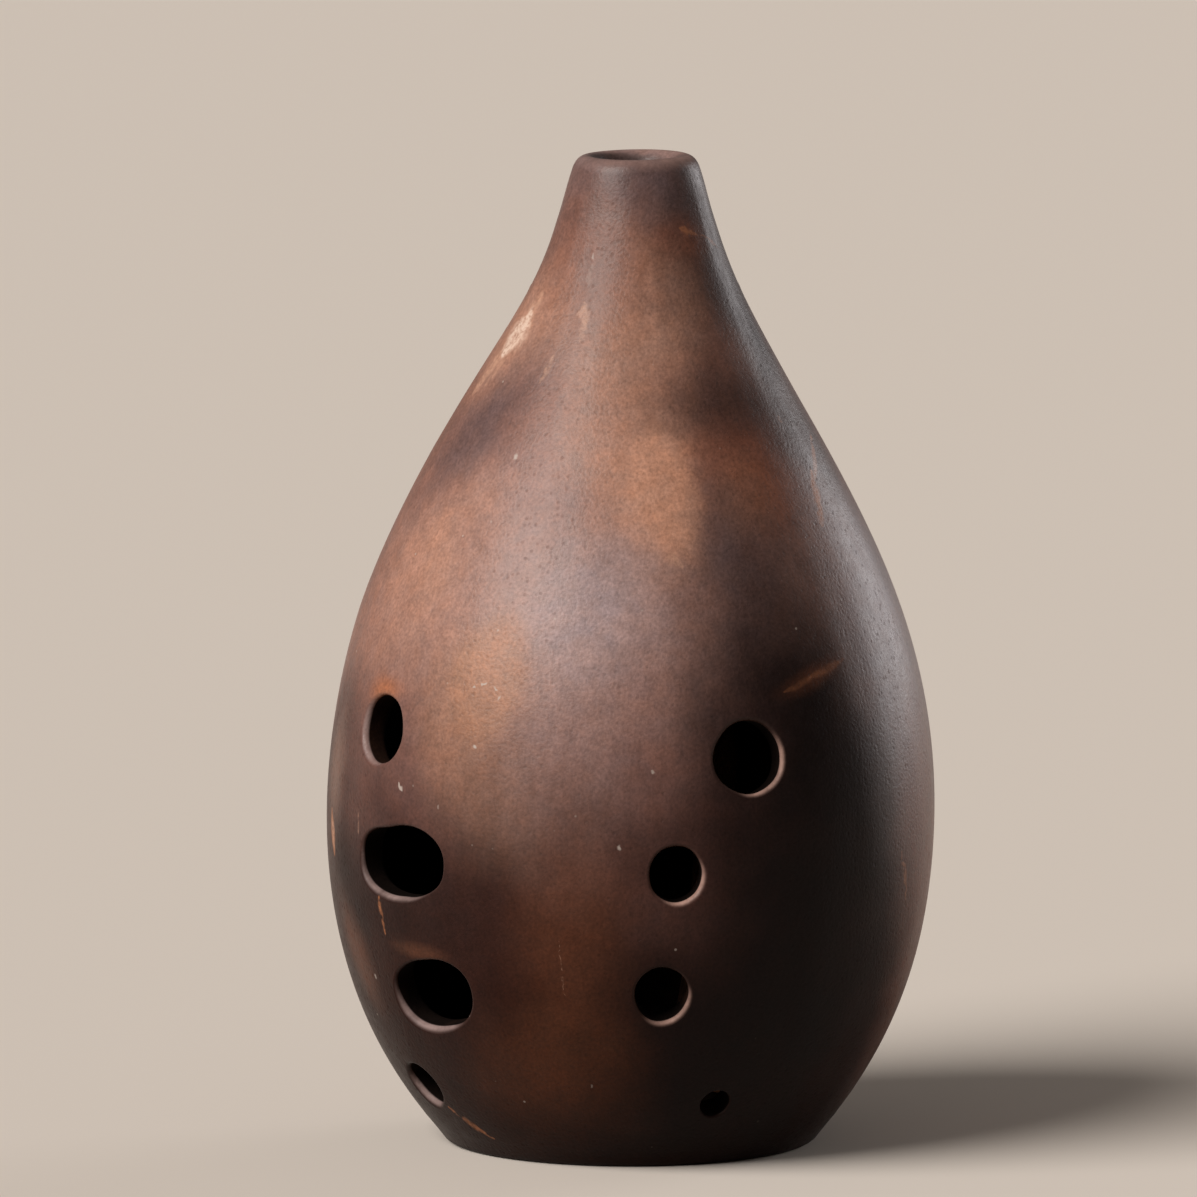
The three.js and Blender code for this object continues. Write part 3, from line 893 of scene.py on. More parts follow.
def makeSmokedClay():
    # clay clouded by smoke and fire, with painted shade and sheen among the clouds: burnished and satin
    # outside, raw and matt inside, where it is near-black partly as painted shade
    material, tree, shader, place = newMaterial("smokedClay")
    clouds = attributeNode(tree, "clouds", "Color")
    skin = attributeNode(tree, "skin")
    patterns = {label: noiseNode(tree, place, *noise) for label, noise in smokedClay["noises"].items()}
    patterns["pits"] = pitNode(tree, place)
    color = smokedColor(tree, place, clouds, skin, patterns)
    shine = rangeNode(tree, patterns["blotch"], *smokedClay["blotchShine"])
    dulled = rangeNode(tree, patterns["pits"], *smokedClay["pitShine"])
    polished = mathNode(tree, "ADD", mathNode(tree, "ADD", shine, dulled), smokedClay["roughness"])
    roughness = mixValue(tree, skin, smokedClay["rawRoughness"], polished)
    green = addNode(tree, "ShaderNodeSeparateColor", {"Color": clouds}).outputs["Green"]
    levels = (*smokedClay["sootGreens"], smokedClay["sootSpecular"], smokedClay["specular"])
    gloss = mixValue(tree, skin, smokedClay["rawSpecular"], rangeNode(tree, green, *levels))
    below = {}
    for label, (strength, depth) in smokedClay["reliefs"].items():
        inputs = {"Strength": strength, "Distance": depth, "Height": patterns[label]}
        below = {"Normal": addNode(tree, "ShaderNodeBump", inputs | below).outputs[0]}
    inputs = {"Base Color": color, "Roughness": roughness, "Specular IOR Level": gloss}
    fillInputs(tree, shader, inputs | below)
    return material


rawClay = {
    "specular": 0.25,
    "roughness": 0.88,
    "grain": (0.0007, 4, 0.6),
    "tones": (0.3, 0.7, 0.8, 1.15),
    "bump": 0.4,
    "depth": 0.0004,
}


def makeRawClay():
    # unburnished clay of the coils: matt and grainy, with darker patches
    material, tree, shader, place = newMaterial("rawClay")
    grain = noiseNode(tree, place, *rawClay["grain"])
    tone = greyNode(tree, rangeNode(tree, grain, *rawClay["tones"]))
    color = mixColor(tree, 1.0, attributeNode(tree, "clouds", "Color"), tone, "MULTIPLY")
    inputs = {"Strength": rawClay["bump"], "Distance": rawClay["depth"], "Height": grain}
    bump = addNode(tree, "ShaderNodeBump", inputs).outputs[0]
    finish = {"Roughness": rawClay["roughness"], "Specular IOR Level": rawClay["specular"]}
    fillInputs(tree, shader, {"Base Color": color, "Normal": bump} | finish)
    return material


smoked = makeSmokedClay()
raw = makeRawClay()
print("materials made")

# Wall halves with their finger and thumb holes

halves = {
    "leftSeed": 300,
    "rightSeed": 400,
    "turnCells": 172,
    "riseCells": 168,
    "windowMargin": 1.5,
    # how much of a tilted hole's rise counts towards its width, and of its width towards its rise
    "tiltWidthShare": 0.5,
    "tiltRiseShare": 0.25,
    "patchSteps": 6,
    "patchPower": 1.6,  # above 1 gives finer rings next to the rim
    "rimSteps": 7,
    "tunnelSteps": 5,
    "innerRim": 0.6,
    "innerRimSteps": 3,
    "innerPatchSteps": 4,
    "leastRow": 2,  # the lowest row that a window may start at
    "unevenness": 0.004,
    "waveCounts": (4, 5, 7),
    "roundFacing": (0.1, 1.0),  # cosines towards roundTurn between which the extra rounding comes in
    # cosines towards roundTurn between which the rim's wear and painted highlight come in
    "wornFacing": (0.1, 0.9),
    "leastWear": 0.08,
    "rimWear": 0.7,
    "unwornWidth": 4,
    "wornWidth": 7,
    # shares of the rim's bend, from the outside down into the hole
    "wornBend": (0.16, 0.6),
    # where the outside's color gives way to the inside's near-black, which is partly painted shade
    "skinEnd": (0.92, 1.0),
    "exitTries": 8,
}

# the columns of the holes: the rim's rounding grows by extraRound towards roundTurn, and the outline swells
# twice and three times round, each by a share of its reach and from its own turn
holeColumns = (
    "height",
    "turn",
    "width",
    "rise",
    "tilt",
    "fullness",
    "rimRound",
    "extraRound",
    "roundTurn",
    "twice",
    "twiceTurn",
    "thrice",
    "thriceTurn",
)

# the holes of each half in these columns, in mm and degrees
leftHoles = {
    "index": (62.9, -37.8, 10, 9.8, 0, 0.5, 0.75, 0.35, 205, 0.0, 0, 0.0, 0),
    "middle": (44.4, -30.5, 18.2, 10.2, 0, 0.4, 0.55, 0.6, 248, 0.05, 50, 0.02, 60),
    "ring": (25.2, -25.5, 15.2, 10.6, 9, 0.44, 0.55, 0.65, 245, 0.02, 50, 0.01, 60),
    "little": (10.3, -41.1, 7, 7.2, 0, 0.5, 0.65, 0.4, 220, 0.0, 0, 0.0, 0),
    "thumb": (66, -153, 9, 9, 0, 0.5, 0.75, 0.2, 250, 0.0, 0, 0.01, 20),
}
rightHoles = {
    "index": (61, 41.9, 10.4, 10.4, 0, 0.5, 0.7, 0.25, 325, 0.0, 0, 0.01, 80),
    "middle": (44.7, 27.4, 7.6, 8.2, 0, 0.5, 0.55, 0.4, 315, 0.0, 0, 0.0, 0),
    "ring": (27, 25.1, 7.7, 8.5, 0, 0.5, 0.55, 0.4, 305, 0.0, 0, 0.01, 140),
    "little": (9.8, 39.9, 4.4, 4.8, 0, 0.5, 0.35, 0.0, 0, 0.0, 0, 0.0, 0),
    "thumb": (66, 153, 9, 9, 0, 0.5, 0.75, 0.2, 250, 0.0, 0, 0.01, 80),
}


def rimOutline(hole, angle, seed):
    # distance from a hole's middle at an angle: a tilted rounded oval in polar form,
    # (|cos/a|^p + |sin/b|^p)^(-1/p), swelled a little twice and three times round and by seeded waves
    power = 1 / hole["fullness"]
    tilted = angle - hole["tilt"] * degree
    sides = np.abs(np.cos(tilted) / (hole["width"] / 2)) ** power
    reach = (sides + np.abs(np.sin(tilted) / (hole["rise"] / 2)) ** power) ** (-1 / power)
    swell = hole["twice"] * np.cos(2 * (angle - hole["twiceTurn"] * degree))
    swell += hole["thrice"] * np.cos(3 * (angle - hole["thriceTurn"] * degree))
    rng = np.random.default_rng(seed)
    for count in halves["waveCounts"]:
        swell += halves["unevenness"] * np.sin(count * angle + rng.uniform(0, 2 * math.pi))
    return reach * (1 + swell)


def holeParts(hole):
    # the hole's middle on the outside as a turn and an arc length, its radius there, and its axis inwards
    arc = arcAt(hole["height"], 0)
    turn = hole["turn"] * degree
    radius, _, out, up = alongOutline(arc)
    axis = np.array([-out * math.sin(turn), out * math.cos(turn), -up])
    return turn, arc, radius, axis


def depthAndArc(points):
    # how deep points lie under the outline, and the arc length of its nearest place
    radius = np.hypot(points[:, 0], points[:, 1])
    gaps = (radius[:, None] - outline["radius"]) ** 2 + (points[:, 2, None] - outline["height"]) ** 2
    nearest = gaps.argmin(axis=1)
    acrossGap = radius - outline["radius"][nearest]
    upGap = points[:, 2] - outline["height"][nearest]
    out, up = outline["out"][nearest], outline["up"][nearest]
    depth = -(acrossGap * out + upGap * up)
    return depth, outline["arc"][nearest] + upGap * out - acrossGap * up


def windowLoop(rows, columns):
    # the grid's points round a window, along the bottom, up, back along the top and down
    low, high = rows
    first, last = columns
    bottom = [(low, column) for column in range(first, last)]
    right = [(row, last) for row in range(low, high)]
    top = [(high, column) for column in range(last, first, -1)]
    left = [(row, first) for row in range(high, low, -1)]
    return tuple(np.array(bottom + right + top + left).T)


def cutHole(shape, hole, seed, outer, inner):
    # fills a window of the outer grid and one of the inner grid with rings that run down to the hole's rim,
    # round it, along the tunnel and out again over the inner rim
    turn, arc, radius, axis = holeParts(hole)
    loopOuter = windowLoop(*outer["window"])
    loopInner = windowLoop(*inner["window"])

    def offsetOf(turns, arcs):
        # distances across and up from the hole's middle
        return np.stack([(turns - turn) * radius, arcs - arc], axis=-1)

    def placeOf(offset):
        # the turns and arc lengths at such distances
        return turn + offset[:, 0] / radius, arc + offset[:, 1]

    boundary = offsetOf(outer["turn"][loopOuter], outer["arc"][loopOuter])
    angle = np.arctan2(boundary[:, 1], boundary[:, 0])
    facing = np.cos(angle - hole["roundTurn"] * degree)
    rounding = hole["rimRound"] + hole["extraRound"] * smoothStep(facing, *halves["roundFacing"])
    # the rim's pale mark: a little all round and more towards roundTurn, partly wear and partly painted
    # highlight where the rim faces the light
    handled = smoothStep(hole["width"], halves["unwornWidth"], halves["wornWidth"])
    wear = handled * (halves["leastWear"] + halves["rimWear"] * smoothStep(facing, *halves["wornFacing"]))
    toward = np.stack([np.cos(angle), np.sin(angle)], axis=-1)
    opening = rimOutline(hole, angle, seed)[:, None] * toward
    rim = opening + rounding[:, None] * toward

    previous = outer["ids"][loopOuter]
    steps = halves["patchSteps"]
    for step in range(steps - 1, -1, -1):
        share = (step / steps) ** halves["patchPower"]
        place = placeOf(rim + (boundary - rim) * share)
        ids = shape.add(outsidePoint(*place), outsideNormal(*place), 1.0)
        shape.band(ids, previous)
        previous = ids

    for step in range(1, halves["rimSteps"] + 1):
        share = step / halves["rimSteps"]
        bend = share * math.pi / 2
        offset = opening + (rounding * (1 - math.sin(bend)))[:, None] * toward
        sink = rounding * (1 - math.cos(bend))
        points = outsidePoint(*placeOf(offset)) + sink[:, None] * axis
        # along the bend the outside's color gives way to the inside's near-black, partly painted shade, and
        # the rim's mark grows
        skin = 1 - smoothStep(share, *halves["skinEnd"])
        wearAndHighlight = smoothStep(share, *halves["wornBend"])
        ids = shape.add(points, None, skin, wearAndHighlight * wear)
        shape.band(ids, previous)
        previous = ids

    mouth = outsidePoint(*placeOf(opening))
    depth = np.full(len(angle), vessel["wall"], float)
    for _ in range(halves["exitTries"]):
        reached, exitArc = depthAndArc(mouth + depth[:, None] * axis)
        depth += vessel["wall"] + handWork["fingerDepth"] - reached
    exitPoints = mouth + depth[:, None] * axis
    exitTurn = np.arctan2(exitPoints[:, 0], -exitPoints[:, 1])
    exitTurn = turn + (exitTurn - turn + math.pi) % (2 * math.pi) - math.pi
    exitOffset = offsetOf(exitTurn, exitArc)
    outward = exitOffset / np.linalg.norm(exitOffset, axis=1)[:, None]
    innerOffset = exitOffset + halves["innerRim"] * outward
    tunnelEnd = depth - halves["innerRim"]
    for step in range(1, halves["tunnelSteps"] + 1):
        share = step / halves["tunnelSteps"]
        along = rounding + (tunnelEnd - rounding) * share
        ids = shape.add(mouth + along[:, None] * axis)
        shape.band(ids, previous)
        previous = ids

    start = mouth + tunnelEnd[:, None] * axis
    end = insidePoint(*placeOf(innerOffset))
    for step in range(1, halves["innerRimSteps"] + 1):
        share = step / halves["innerRimSteps"]
        points = (1 - share) ** 2 * start + 2 * share * (1 - share) * exitPoints + share**2 * end
        ids = shape.add(points)
        shape.band(ids, previous)
        previous = ids

    innerBoundary = offsetOf(inner["turn"][loopInner], inner["arc"][loopInner])
    steps = halves["innerPatchSteps"]
    for step in range(1, steps):
        offset = innerOffset + (innerBoundary - innerOffset) * (step / steps)
        ids = shape.add(insidePoint(*placeOf(offset)))
        shape.band(ids, previous)
        previous = ids
    shape.band(inner["ids"][loopInner], previous)


def halfGrid(side, depth, place):
    # turns and arc lengths of one half's grid at a depth, ending on the plane between the halves
    low = arcAt(vessel["baseThickness"], depth)
    high = arcAt(vessel["jointHeight"], depth)
    rows = np.linspace(low, high, halves["riseCells"] + 1)
    radius, height, out, up = alongOutline(rows)
    shift = setAcross(turnedPoint(np.zeros(len(rows)), height - depth * up, 0.0))[:, 0]
    lean = np.arcsin(shift / (radius - depth * out))
    first, last = (-lean, math.pi + lean) if side > 0 else (lean - math.pi, -lean)
    share = np.linspace(0, 1, halves["turnCells"] + 1)
    turn = first[:, None] + (last - first)[:, None] * share
    arc = np.broadcast_to(rows[:, None], turn.shape)
    points = place(turn, arc)
    points[:, 0, 0] = 0
    points[:, -1, 0] = 0
    points[0, :, 2] = vessel["baseThickness"]
    points[-1, :, 2] = vessel["jointHeight"]
    return turn, arc, points


def findWindow(hole, turn, arc, size=None):
    # the grid's rows and columns round a hole, wide enough for its rim and a margin
    holeTurn, holeArc, radius, _ = holeParts(hole)
    middleRow = np.interp(holeArc, arc[:, 0], np.arange(arc.shape[0]))
    row = int(round(middleRow))
    middleColumn = np.interp(holeTurn, turn[row], np.arange(turn.shape[1]))
    if size is None:
        tilt = abs(math.sin(hole["tilt"] * degree))
        border = hole["rimRound"] + hole["extraRound"] + halves["windowMargin"]
        halfWidth = hole["width"] / 2 + tilt * hole["rise"] * halves["tiltWidthShare"] + border
        halfRise = hole["rise"] / 2 + tilt * hole["width"] * halves["tiltRiseShare"] + border
        acrossCell = (turn[row, 1] - turn[row, 0]) * radius
        upCell = arc[1, 0] - arc[0, 0]
        size = (2 * math.ceil(halfRise / upCell), 2 * math.ceil(halfWidth / acrossCell))
    firstRow = max(int(round(middleRow - size[0] / 2)), halves["leastRow"])
    firstColumn = int(round(middleColumn - size[1] / 2))
    return ((firstRow, firstRow + size[0]), (firstColumn, firstColumn + size[1])), size


def cellsKept(shape, windows):
    # the grid's cells outside every window
    keep = np.ones((shape[0] - 1, shape[1] - 1), bool)
    for rows, columns in windows:
        keep[slice(*rows), slice(*columns)] = False
    return keep


def makeHalf(name, side, holes, seed):
    # an outer and an inner grid joined along the seam plane, the base and the neck joint, with holes between
    shape = ClayShape()
    turn, arc, points = halfGrid(side, 0.0, outsidePoint)
    outerIds = shape.add(points, outsideNormal(turn, arc), 1.0)
    innerTurn, innerArc, innerPoints = halfGrid(side, vessel["wall"], insidePoint)
    innerIds = shape.add(innerPoints)
    windows, innerWindows = [], []
    for number, values in enumerate(holes.values()):
        hole = dict(zip(holeColumns, values))
        window, size = findWindow(hole, turn, arc)
        innerWindow, _ = findWindow(hole, innerTurn, innerArc, size)
        windows.append(window)
        innerWindows.append(innerWindow)
        outer = {"turn": turn, "arc": arc, "ids": outerIds, "window": window}
        inner = {"turn": innerTurn, "arc": innerArc, "ids": innerIds, "window": innerWindow}
        cutHole(shape, hole, seed + number, outer, inner)
    shape.sheet(outerIds, cellsKept(turn.shape, windows))
    shape.sheet(innerIds, cellsKept(turn.shape, innerWindows), back=True)
    shape.sheet(np.stack([innerIds[0], outerIds[0]]), flat=True)
    shape.sheet(np.stack([outerIds[-1], innerIds[-1]]), flat=True)
    shape.sheet(np.stack([innerIds[:, 0], outerIds[:, 0]], axis=1), flat=True)
    shape.sheet(np.stack([outerIds[:, -1], innerIds[:, -1]], axis=1), flat=True)
    return shape.finish(name, smokedPaint, smoked)


leftShell = makeHalf("leftShell", -1, leftHoles, halves["leftSeed"])
rightShell = makeHalf("rightShell", 1, rightHoles, halves["rightSeed"])
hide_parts("left_half_shell")
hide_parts("right_half_shell")
print("wall halves made")


def lipDip(turn):
    # how far the lip lies under its highest place: sag x (1/2 - swing x cos + ripple x sin three times round)
    swing = lip["sagSwing"] * np.cos(turn - lip["highTurn"] * degree)
    ripple = lip["sagRipple"] * np.sin(3 * turn + lip["ripplePhase"])
    return lip["sag"] * (0.5 - swing + ripple)


def lipSection(wallTop):
    # radii and heights over the rounded lip, down the funnel and the throat, and out to the inside wall
    height = vessel["height"]
    slope = (vessel["neckRadius"] - lipRadius) / (lipHeight - (height - vessel["neckDrop"]))
    lipCorner = (lipRadius - slope * lip["lipDrop"], height)
    crest = (crestRadius, height)
    shelf = (crestRadius - lip["funnelWidth"] / 2, height)
    slip = (lip["throatRadius"], height - lip["throatDepth"] / 2)
    throatTop = (lip["throatRadius"], height - lip["throatDepth"])
    throatEnd = (lip["throatRadius"], throatTop[1] - lip["throatLength"])
    ceilingTurn = (lip["throatRadius"], throatEnd[1] - lip["ceilingBend"])
    lines = [
        bezierLine([(lipRadius, lipHeight), lipCorner, crest], lip["lipSteps"]),
        bezierLine([crest, shelf, slip, throatTop], lip["lipSteps"]),
        bezierLine([throatTop, throatEnd], lip["throatSteps"]),
        bezierLine([throatEnd, ceilingTurn, wallTop], lip["ceilingSteps"]),
    ]
    return np.concatenate([line[1:] for line in lines])


def makeNeck():
    # a section of the neck turned about the axis: outside, lip, funnel, throat and inside wall
    shape = ClayShape()
    wall, height = vessel["wall"], vessel["height"]
    turn = np.linspace(0, 2 * math.pi, lip["turnSteps"], endpoint=False)
    rows = np.linspace(arcAt(vessel["jointHeight"], 0), arcLip, lip["outsideSteps"] + 1)[:, None]
    outside = outsidePoint(turn, rows)
    outside[0, :, 2] = vessel["jointHeight"]
    normals = outsideNormal(*np.broadcast_arrays(turn, rows))
    normals[-lip["blendedRows"] :] = np.nan
    ceiling = height - lip["throatDepth"] - lip["throatLength"] - lip["ceilingDrop"]
    ends = arcAt(ceiling, wall), arcAt(vessel["jointHeight"], wall)
    insideRows = np.linspace(*ends, lip["insideSteps"] + 1)
    radius, _, out, _ = alongOutline(insideRows[0])
    profile = lipSection((radius - wall * out, ceiling))
    section = setAcross(turnedPoint(profile[:, 0, None], profile[:, 1, None], turn))
    inside = insidePoint(turn, insideRows[1:, None])
    inside[-1, :, 2] = vessel["jointHeight"]
    smokedRows = lip["lipSteps"] + lip["lipSteps"] // 2
    skin = np.ones((len(profile), 1))
    skin[smokedRows:, 0] = np.linspace(1, 0, len(profile) - smokedRows)
    wornRows = lip["lipSteps"] + lip["wornRows"]
    edge = np.zeros((len(profile), 1))
    edge[:wornRows, 0] = lip["wear"] * np.sin(np.linspace(0, math.pi, wornRows))
    loops = []
    for points, *known in ((outside, normals, 1.0), (section, None, skin, edge), (inside,)):
        points[..., 2] -= lipDip(turn) * smoothStep(points[..., 2], height - lip["sagRun"], height)
        loops.append(shape.add(points, *known))
    loops = np.concatenate(loops)
    for lower, upper in zip(loops, loops[1:]):
        shape.band(upper, lower)
    shape.band(loops[0], loops[-1], flat=True)
    return shape.finish("neckPiece", smokedPaint, smoked)


neckPiece = makeNeck()
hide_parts("mouthpiece_neck")
print("neck made")

disc = {
    "turnSteps": 200,
    "footSteps": 6,
    "sideSteps": 6,
    "underRadii": (3, 8, 13, 18, 22, 24.6),
    "hollow": 0.18,  # how far the middle of the underside is drawn up
    "topRadii": (26, 20, 12, 5),
    "underSkin": 0.8,  # how smoked the underside is
    "blendedRows": 2,  # rows above the foot's edge whose normals run on round it
}


def makeDisc():
    # the flat foot, its softened edge, the lowest stretch of the wall and the floor of the chamber
    shape = ClayShape()
    turn = np.linspace(0, 2 * math.pi, disc["turnSteps"], endpoint=False)
    start = arcAt(vessel["footRound"], 0)
    end = arcAt(vessel["baseThickness"], 0)
    sideRows = np.linspace(start, end, disc["sideSteps"] + 1)[:, None]
    side = outsidePoint(turn, sideRows)
    side[-1, :, 2] = vessel["baseThickness"]
    normals = outsideNormal(*np.broadcast_arrays(turn, sideRows))
    normals[: disc["blendedRows"]] = np.nan
    corner = (vessel["footRadius"], 0)
    flatEdge = (vessel["footRadius"] - vessel["footRound"], 0)
    softened = bezierLine([flatEdge, corner, alongOutline(start)[:2]], disc["footSteps"])[:-1]
    underRadii = np.array(disc["underRadii"])
    under = np.stack([underRadii, disc["hollow"] * (1 - (underRadii / flatEdge[0]) ** 2)], axis=-1)
    profile = np.concatenate([under, softened])
    below = turnedPoint(profile[:, 0, None], profile[:, 1, None], turn)
    top = turnedPoint(np.array(disc["topRadii"])[:, None], vessel["baseThickness"], turn)
    belowIds = shape.add(below, None, disc["underSkin"])
    sideIds = shape.add(side, normals, 1.0)
    topIds = shape.add(top)
    middles = shape.add(np.array([[0, 0, disc["hollow"]], [0, 0, vessel["baseThickness"]]], float))
    loops = np.concatenate([belowIds, sideIds])
    for lower, upper in zip(loops, loops[1:]):
        shape.band(upper, lower)
    loops = np.concatenate([sideIds[-1:], topIds])
    for outer, inner in zip(loops, loops[1:]):
        shape.band(inner, outer, flat=True)
    shape.fan(middles[0], belowIds[0], back=True)
    shape.fan(middles[1], topIds[-1])
    return shape.finish("footDisc", smokedPaint, smoked)


footDisc = makeDisc()
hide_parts("base_disc")
print("foot made")

coils = {
    "neckSeed": 5,
    "footSeed": 6,
    "frontSeed": 8,
    "rearSeed": 9,
    "gap": 0.3,
    "seamWidth": 7,
    "seamThickness": 2.6,
    "ringHeight": 7,
    "ringThickness": 2.4,
    "cornerHeight": 4.4,
    "cornerWidth": 4.8,
    "ringTurns": 120,
    "sectionSteps": 12,
    "seamSteps": 130,
    "seamFullness": 0.85,  # under 1 makes the seam coils' section fuller than half an ellipse
    "narrowing": 0.1,
    "endRun": 6,
    "endShare": 0.45,
    "dimple": 0.14,
    "dimplePitch": 9.5,  # one press of a fingertip
    # how far the presses come early or late, in radians, and the length over which they do
    "drift": 1.05,
    "driftPitch": 25.65,
    # a ring's radius that turns its angle into the length that is pressed
    "neckPressRadius": 12,
    "footPressRadius": 22,
    "footPressAcross": 0.75,
    "footPressDown": 0.5,
}


def coilPress(distance, seed):
    # thickness share of a pressed coil: 1 between fingertip presses and less in each, as
    # 1 - dimple x (1 + sin) / 2 with a phase that drifts by a slower sine
    phase = np.random.default_rng(seed).uniform(0, 2 * math.pi)
    drift = coils["drift"] * np.sin(distance * 2 * math.pi / coils["driftPitch"] + phase)
    return 1 - coils["dimple"] * (1 + np.sin(distance * 2 * math.pi / coils["dimplePitch"] + drift)) / 2


def closedRing(name, section):
    # sections round the axis joined into a closed ring: columns are turns and rows go round the section
    shape = ClayShape()
    ids = shape.add(section)
    for first, second in zip(ids, np.roll(ids, -1, axis=0)):
        shape.band(second, first)
    return shape.finish(name, rawPaint, raw)


def makeNeckCoil():
    # a ring over the neck joint, lens-shaped in section and flat against the wall
    turn = np.linspace(0, 2 * math.pi, coils["ringTurns"], endpoint=False)
    depth = vessel["wall"] + coils["gap"]
    low = arcAt(vessel["jointHeight"] - coils["ringHeight"] / 2, depth)
    high = arcAt(vessel["jointHeight"] + coils["ringHeight"] / 2, depth)
    share = np.linspace(0, 1, coils["sectionSteps"] + 1)[:, None]
    press = coilPress(turn * coils["neckPressRadius"], coils["neckSeed"])
    back = setAcross(wallPoint(turn, low + (high - low) * share, depth))
    bulge = coils["ringThickness"] * np.sin(share[1:-1] * math.pi) * press
    face = setAcross(wallPoint(turn, high + (low - high) * share[1:-1], depth + bulge))
    return closedRing("neckCoil", np.concatenate([back, face]))


def makeFootCoil():
    # a fillet in the corner between the disc and the wall
    turn = np.linspace(0, 2 * math.pi, coils["ringTurns"] * 2, endpoint=False)
    depth = vessel["wall"] + coils["gap"]
    base = vessel["baseThickness"]
    low, high = arcAt(base, depth), arcAt(base + coils["cornerHeight"], depth)
    share = np.linspace(0, 1, coils["sectionSteps"] + 1)[:, None]
    back = wallPoint(turn, low + (high - low) * share, depth)
    radius, _, out, _ = alongOutline(np.array([low, high]))
    topPoint = np.array([radius[1] - depth * out[1], base + coils["cornerHeight"]])
    toe = np.array([radius[0] - depth * out[0] - coils["cornerWidth"], base])
    corner = toe + np.array([coils["cornerWidth"] / 2, coils["cornerHeight"] / 2])
    line = bezierLine([topPoint, corner, toe], coils["sectionSteps"])[1:]
    bell = np.sin(np.linspace(0, math.pi, len(line) + 1)[1:])[:, None]
    pressed = (1 - coilPress(turn * coils["footPressRadius"], coils["footSeed"])) * bell
    faceRadius = line[:, 0, None] + coils["footPressAcross"] * pressed
    face = turnedPoint(faceRadius, line[:, 1, None] - coils["footPressDown"] * pressed, turn)
    back[0, :, 2] = base
    return closedRing("footCoil", np.concatenate([back, face]))


def makeSeamCoil(name, side, seed):
    # a roll along a seam, flat against the wall: half width x cos q across and thickness x sin(q)^fullness
    # inwards, pressed by fingertips and tapering at both ends
    shape = ClayShape()
    depth = vessel["wall"] + coils["gap"]
    low = arcAt(vessel["baseThickness"] + coils["cornerHeight"] + coils["gap"], depth)
    high = arcAt(vessel["jointHeight"] - coils["ringHeight"] / 2 - coils["gap"], depth)
    arc = np.linspace(low, high, coils["seamSteps"] + 1)[:, None]
    steps = coils["sectionSteps"]
    faceAngle = np.linspace(0, math.pi, steps + 1)
    across = np.concatenate([np.cos(faceAngle), np.linspace(-1, 1, steps + 1)[1:-1]])
    bulge = np.concatenate([np.sin(faceAngle) ** coils["seamFullness"], np.zeros(steps - 1)])
    rise = np.sin(np.clip((arc - low) / coils["endRun"], 0, 1) * math.pi / 2)
    fall = np.sin(np.clip((high - arc) / coils["endRun"], 0, 1) * math.pi / 2)
    press = coilPress(arc, seed) * (coils["endShare"] + (1 - coils["endShare"]) * rise * fall)
    middle = 0.0 if side < 0 else math.pi
    innerRadius = alongOutline(arc)[0] - depth
    width = coils["seamWidth"] * (1 - coils["narrowing"] * (1 - press))
    turn = middle + side * width / 2 * across / innerRadius
    points = setAcross(wallPoint(turn, arc, depth + coils["seamThickness"] * bulge * press))
    ids = shape.add(points)
    for lower, upper in zip(ids, ids[1:]):
        shape.band(upper, lower, back=side < 0)
    ends = shape.add(np.stack([points[0].mean(axis=0), points[-1].mean(axis=0)]))
    shape.fan(ends[0], ids[0], back=side > 0)
    shape.fan(ends[1], ids[-1], back=side < 0)
    return shape.finish(name, rawPaint, raw)


neckCoil = makeNeckCoil()
footCoil = makeFootCoil()
frontCoil = makeSeamCoil("frontCoil", -1, coils["frontSeed"])
rearCoil = makeSeamCoil("rearCoil", 1, coils["rearSeed"])
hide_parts("neck_joint_coil")
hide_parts("base_joint_coil")
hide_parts("front_seam_coil")
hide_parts("rear_seam_coil")
for piece in (neckPiece, leftShell, rightShell, footDisc):
    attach(piece, "root")
for piece in (neckCoil, footCoil, frontCoil, rearCoil):
    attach(piece, "root")
print("coils made")

# Floor, light and camera

studio = {
    "floorRings": (0.5, 2, 7),
    "floorSides": 96,
    "floorRoughness": 0.9,
    "floorSpecular": 0.1,
    "floorColor": (0.78, 0.72, 0.65, 1),
    "floorBounce": (0.13, 0.09, 0.065, 1),  # what the floor throws back on the vessel
    "worldColor": (1.0, 0.9, 0.82, 1),
    "worldLight": 0.11,
    "cameraTurn": 19.0,
    "cameraLift": 7.3,
    "cameraDistance": 2.2,
    "lens": 458.8,
    "sensor": 36,
    "aimHeight": 0.0707,
    "aimRight": -0.004615,
    "aimUp": 0.00786,
    "clipStart": 0.05,
    "clipEnd": 30,
}

# each far soft lamp: turn from the camera towards the image's right, lift, apparent size, strength and color
lamps = {
    "key": (-55, 38, 40, 3.25, (1.0, 0.94, 0.895)),
    "rim": (130, 7, 30, 1.02, (0.98, 0.94, 0.95)),
}


def towardTurn(turnDegrees, liftDegrees):
    # unit direction turned about Z from the front and lifted from the ground
    turn, lift = turnDegrees * degree, liftDegrees * degree
    level = math.cos(lift)
    return Vector((math.sin(turn) * level, -math.cos(turn) * level, math.sin(lift)))


def seenShare(tree):
    # 1 for rays from the camera and for what the camera sees mirrored or through glass
    path = addNode(tree, "ShaderNodeLightPath").outputs
    mirrored = mathNode(tree, "MAXIMUM", path["Is Glossy Ray"], path["Is Transmission Ray"])
    return mathNode(tree, "MAXIMUM", path["Is Camera Ray"], mirrored)


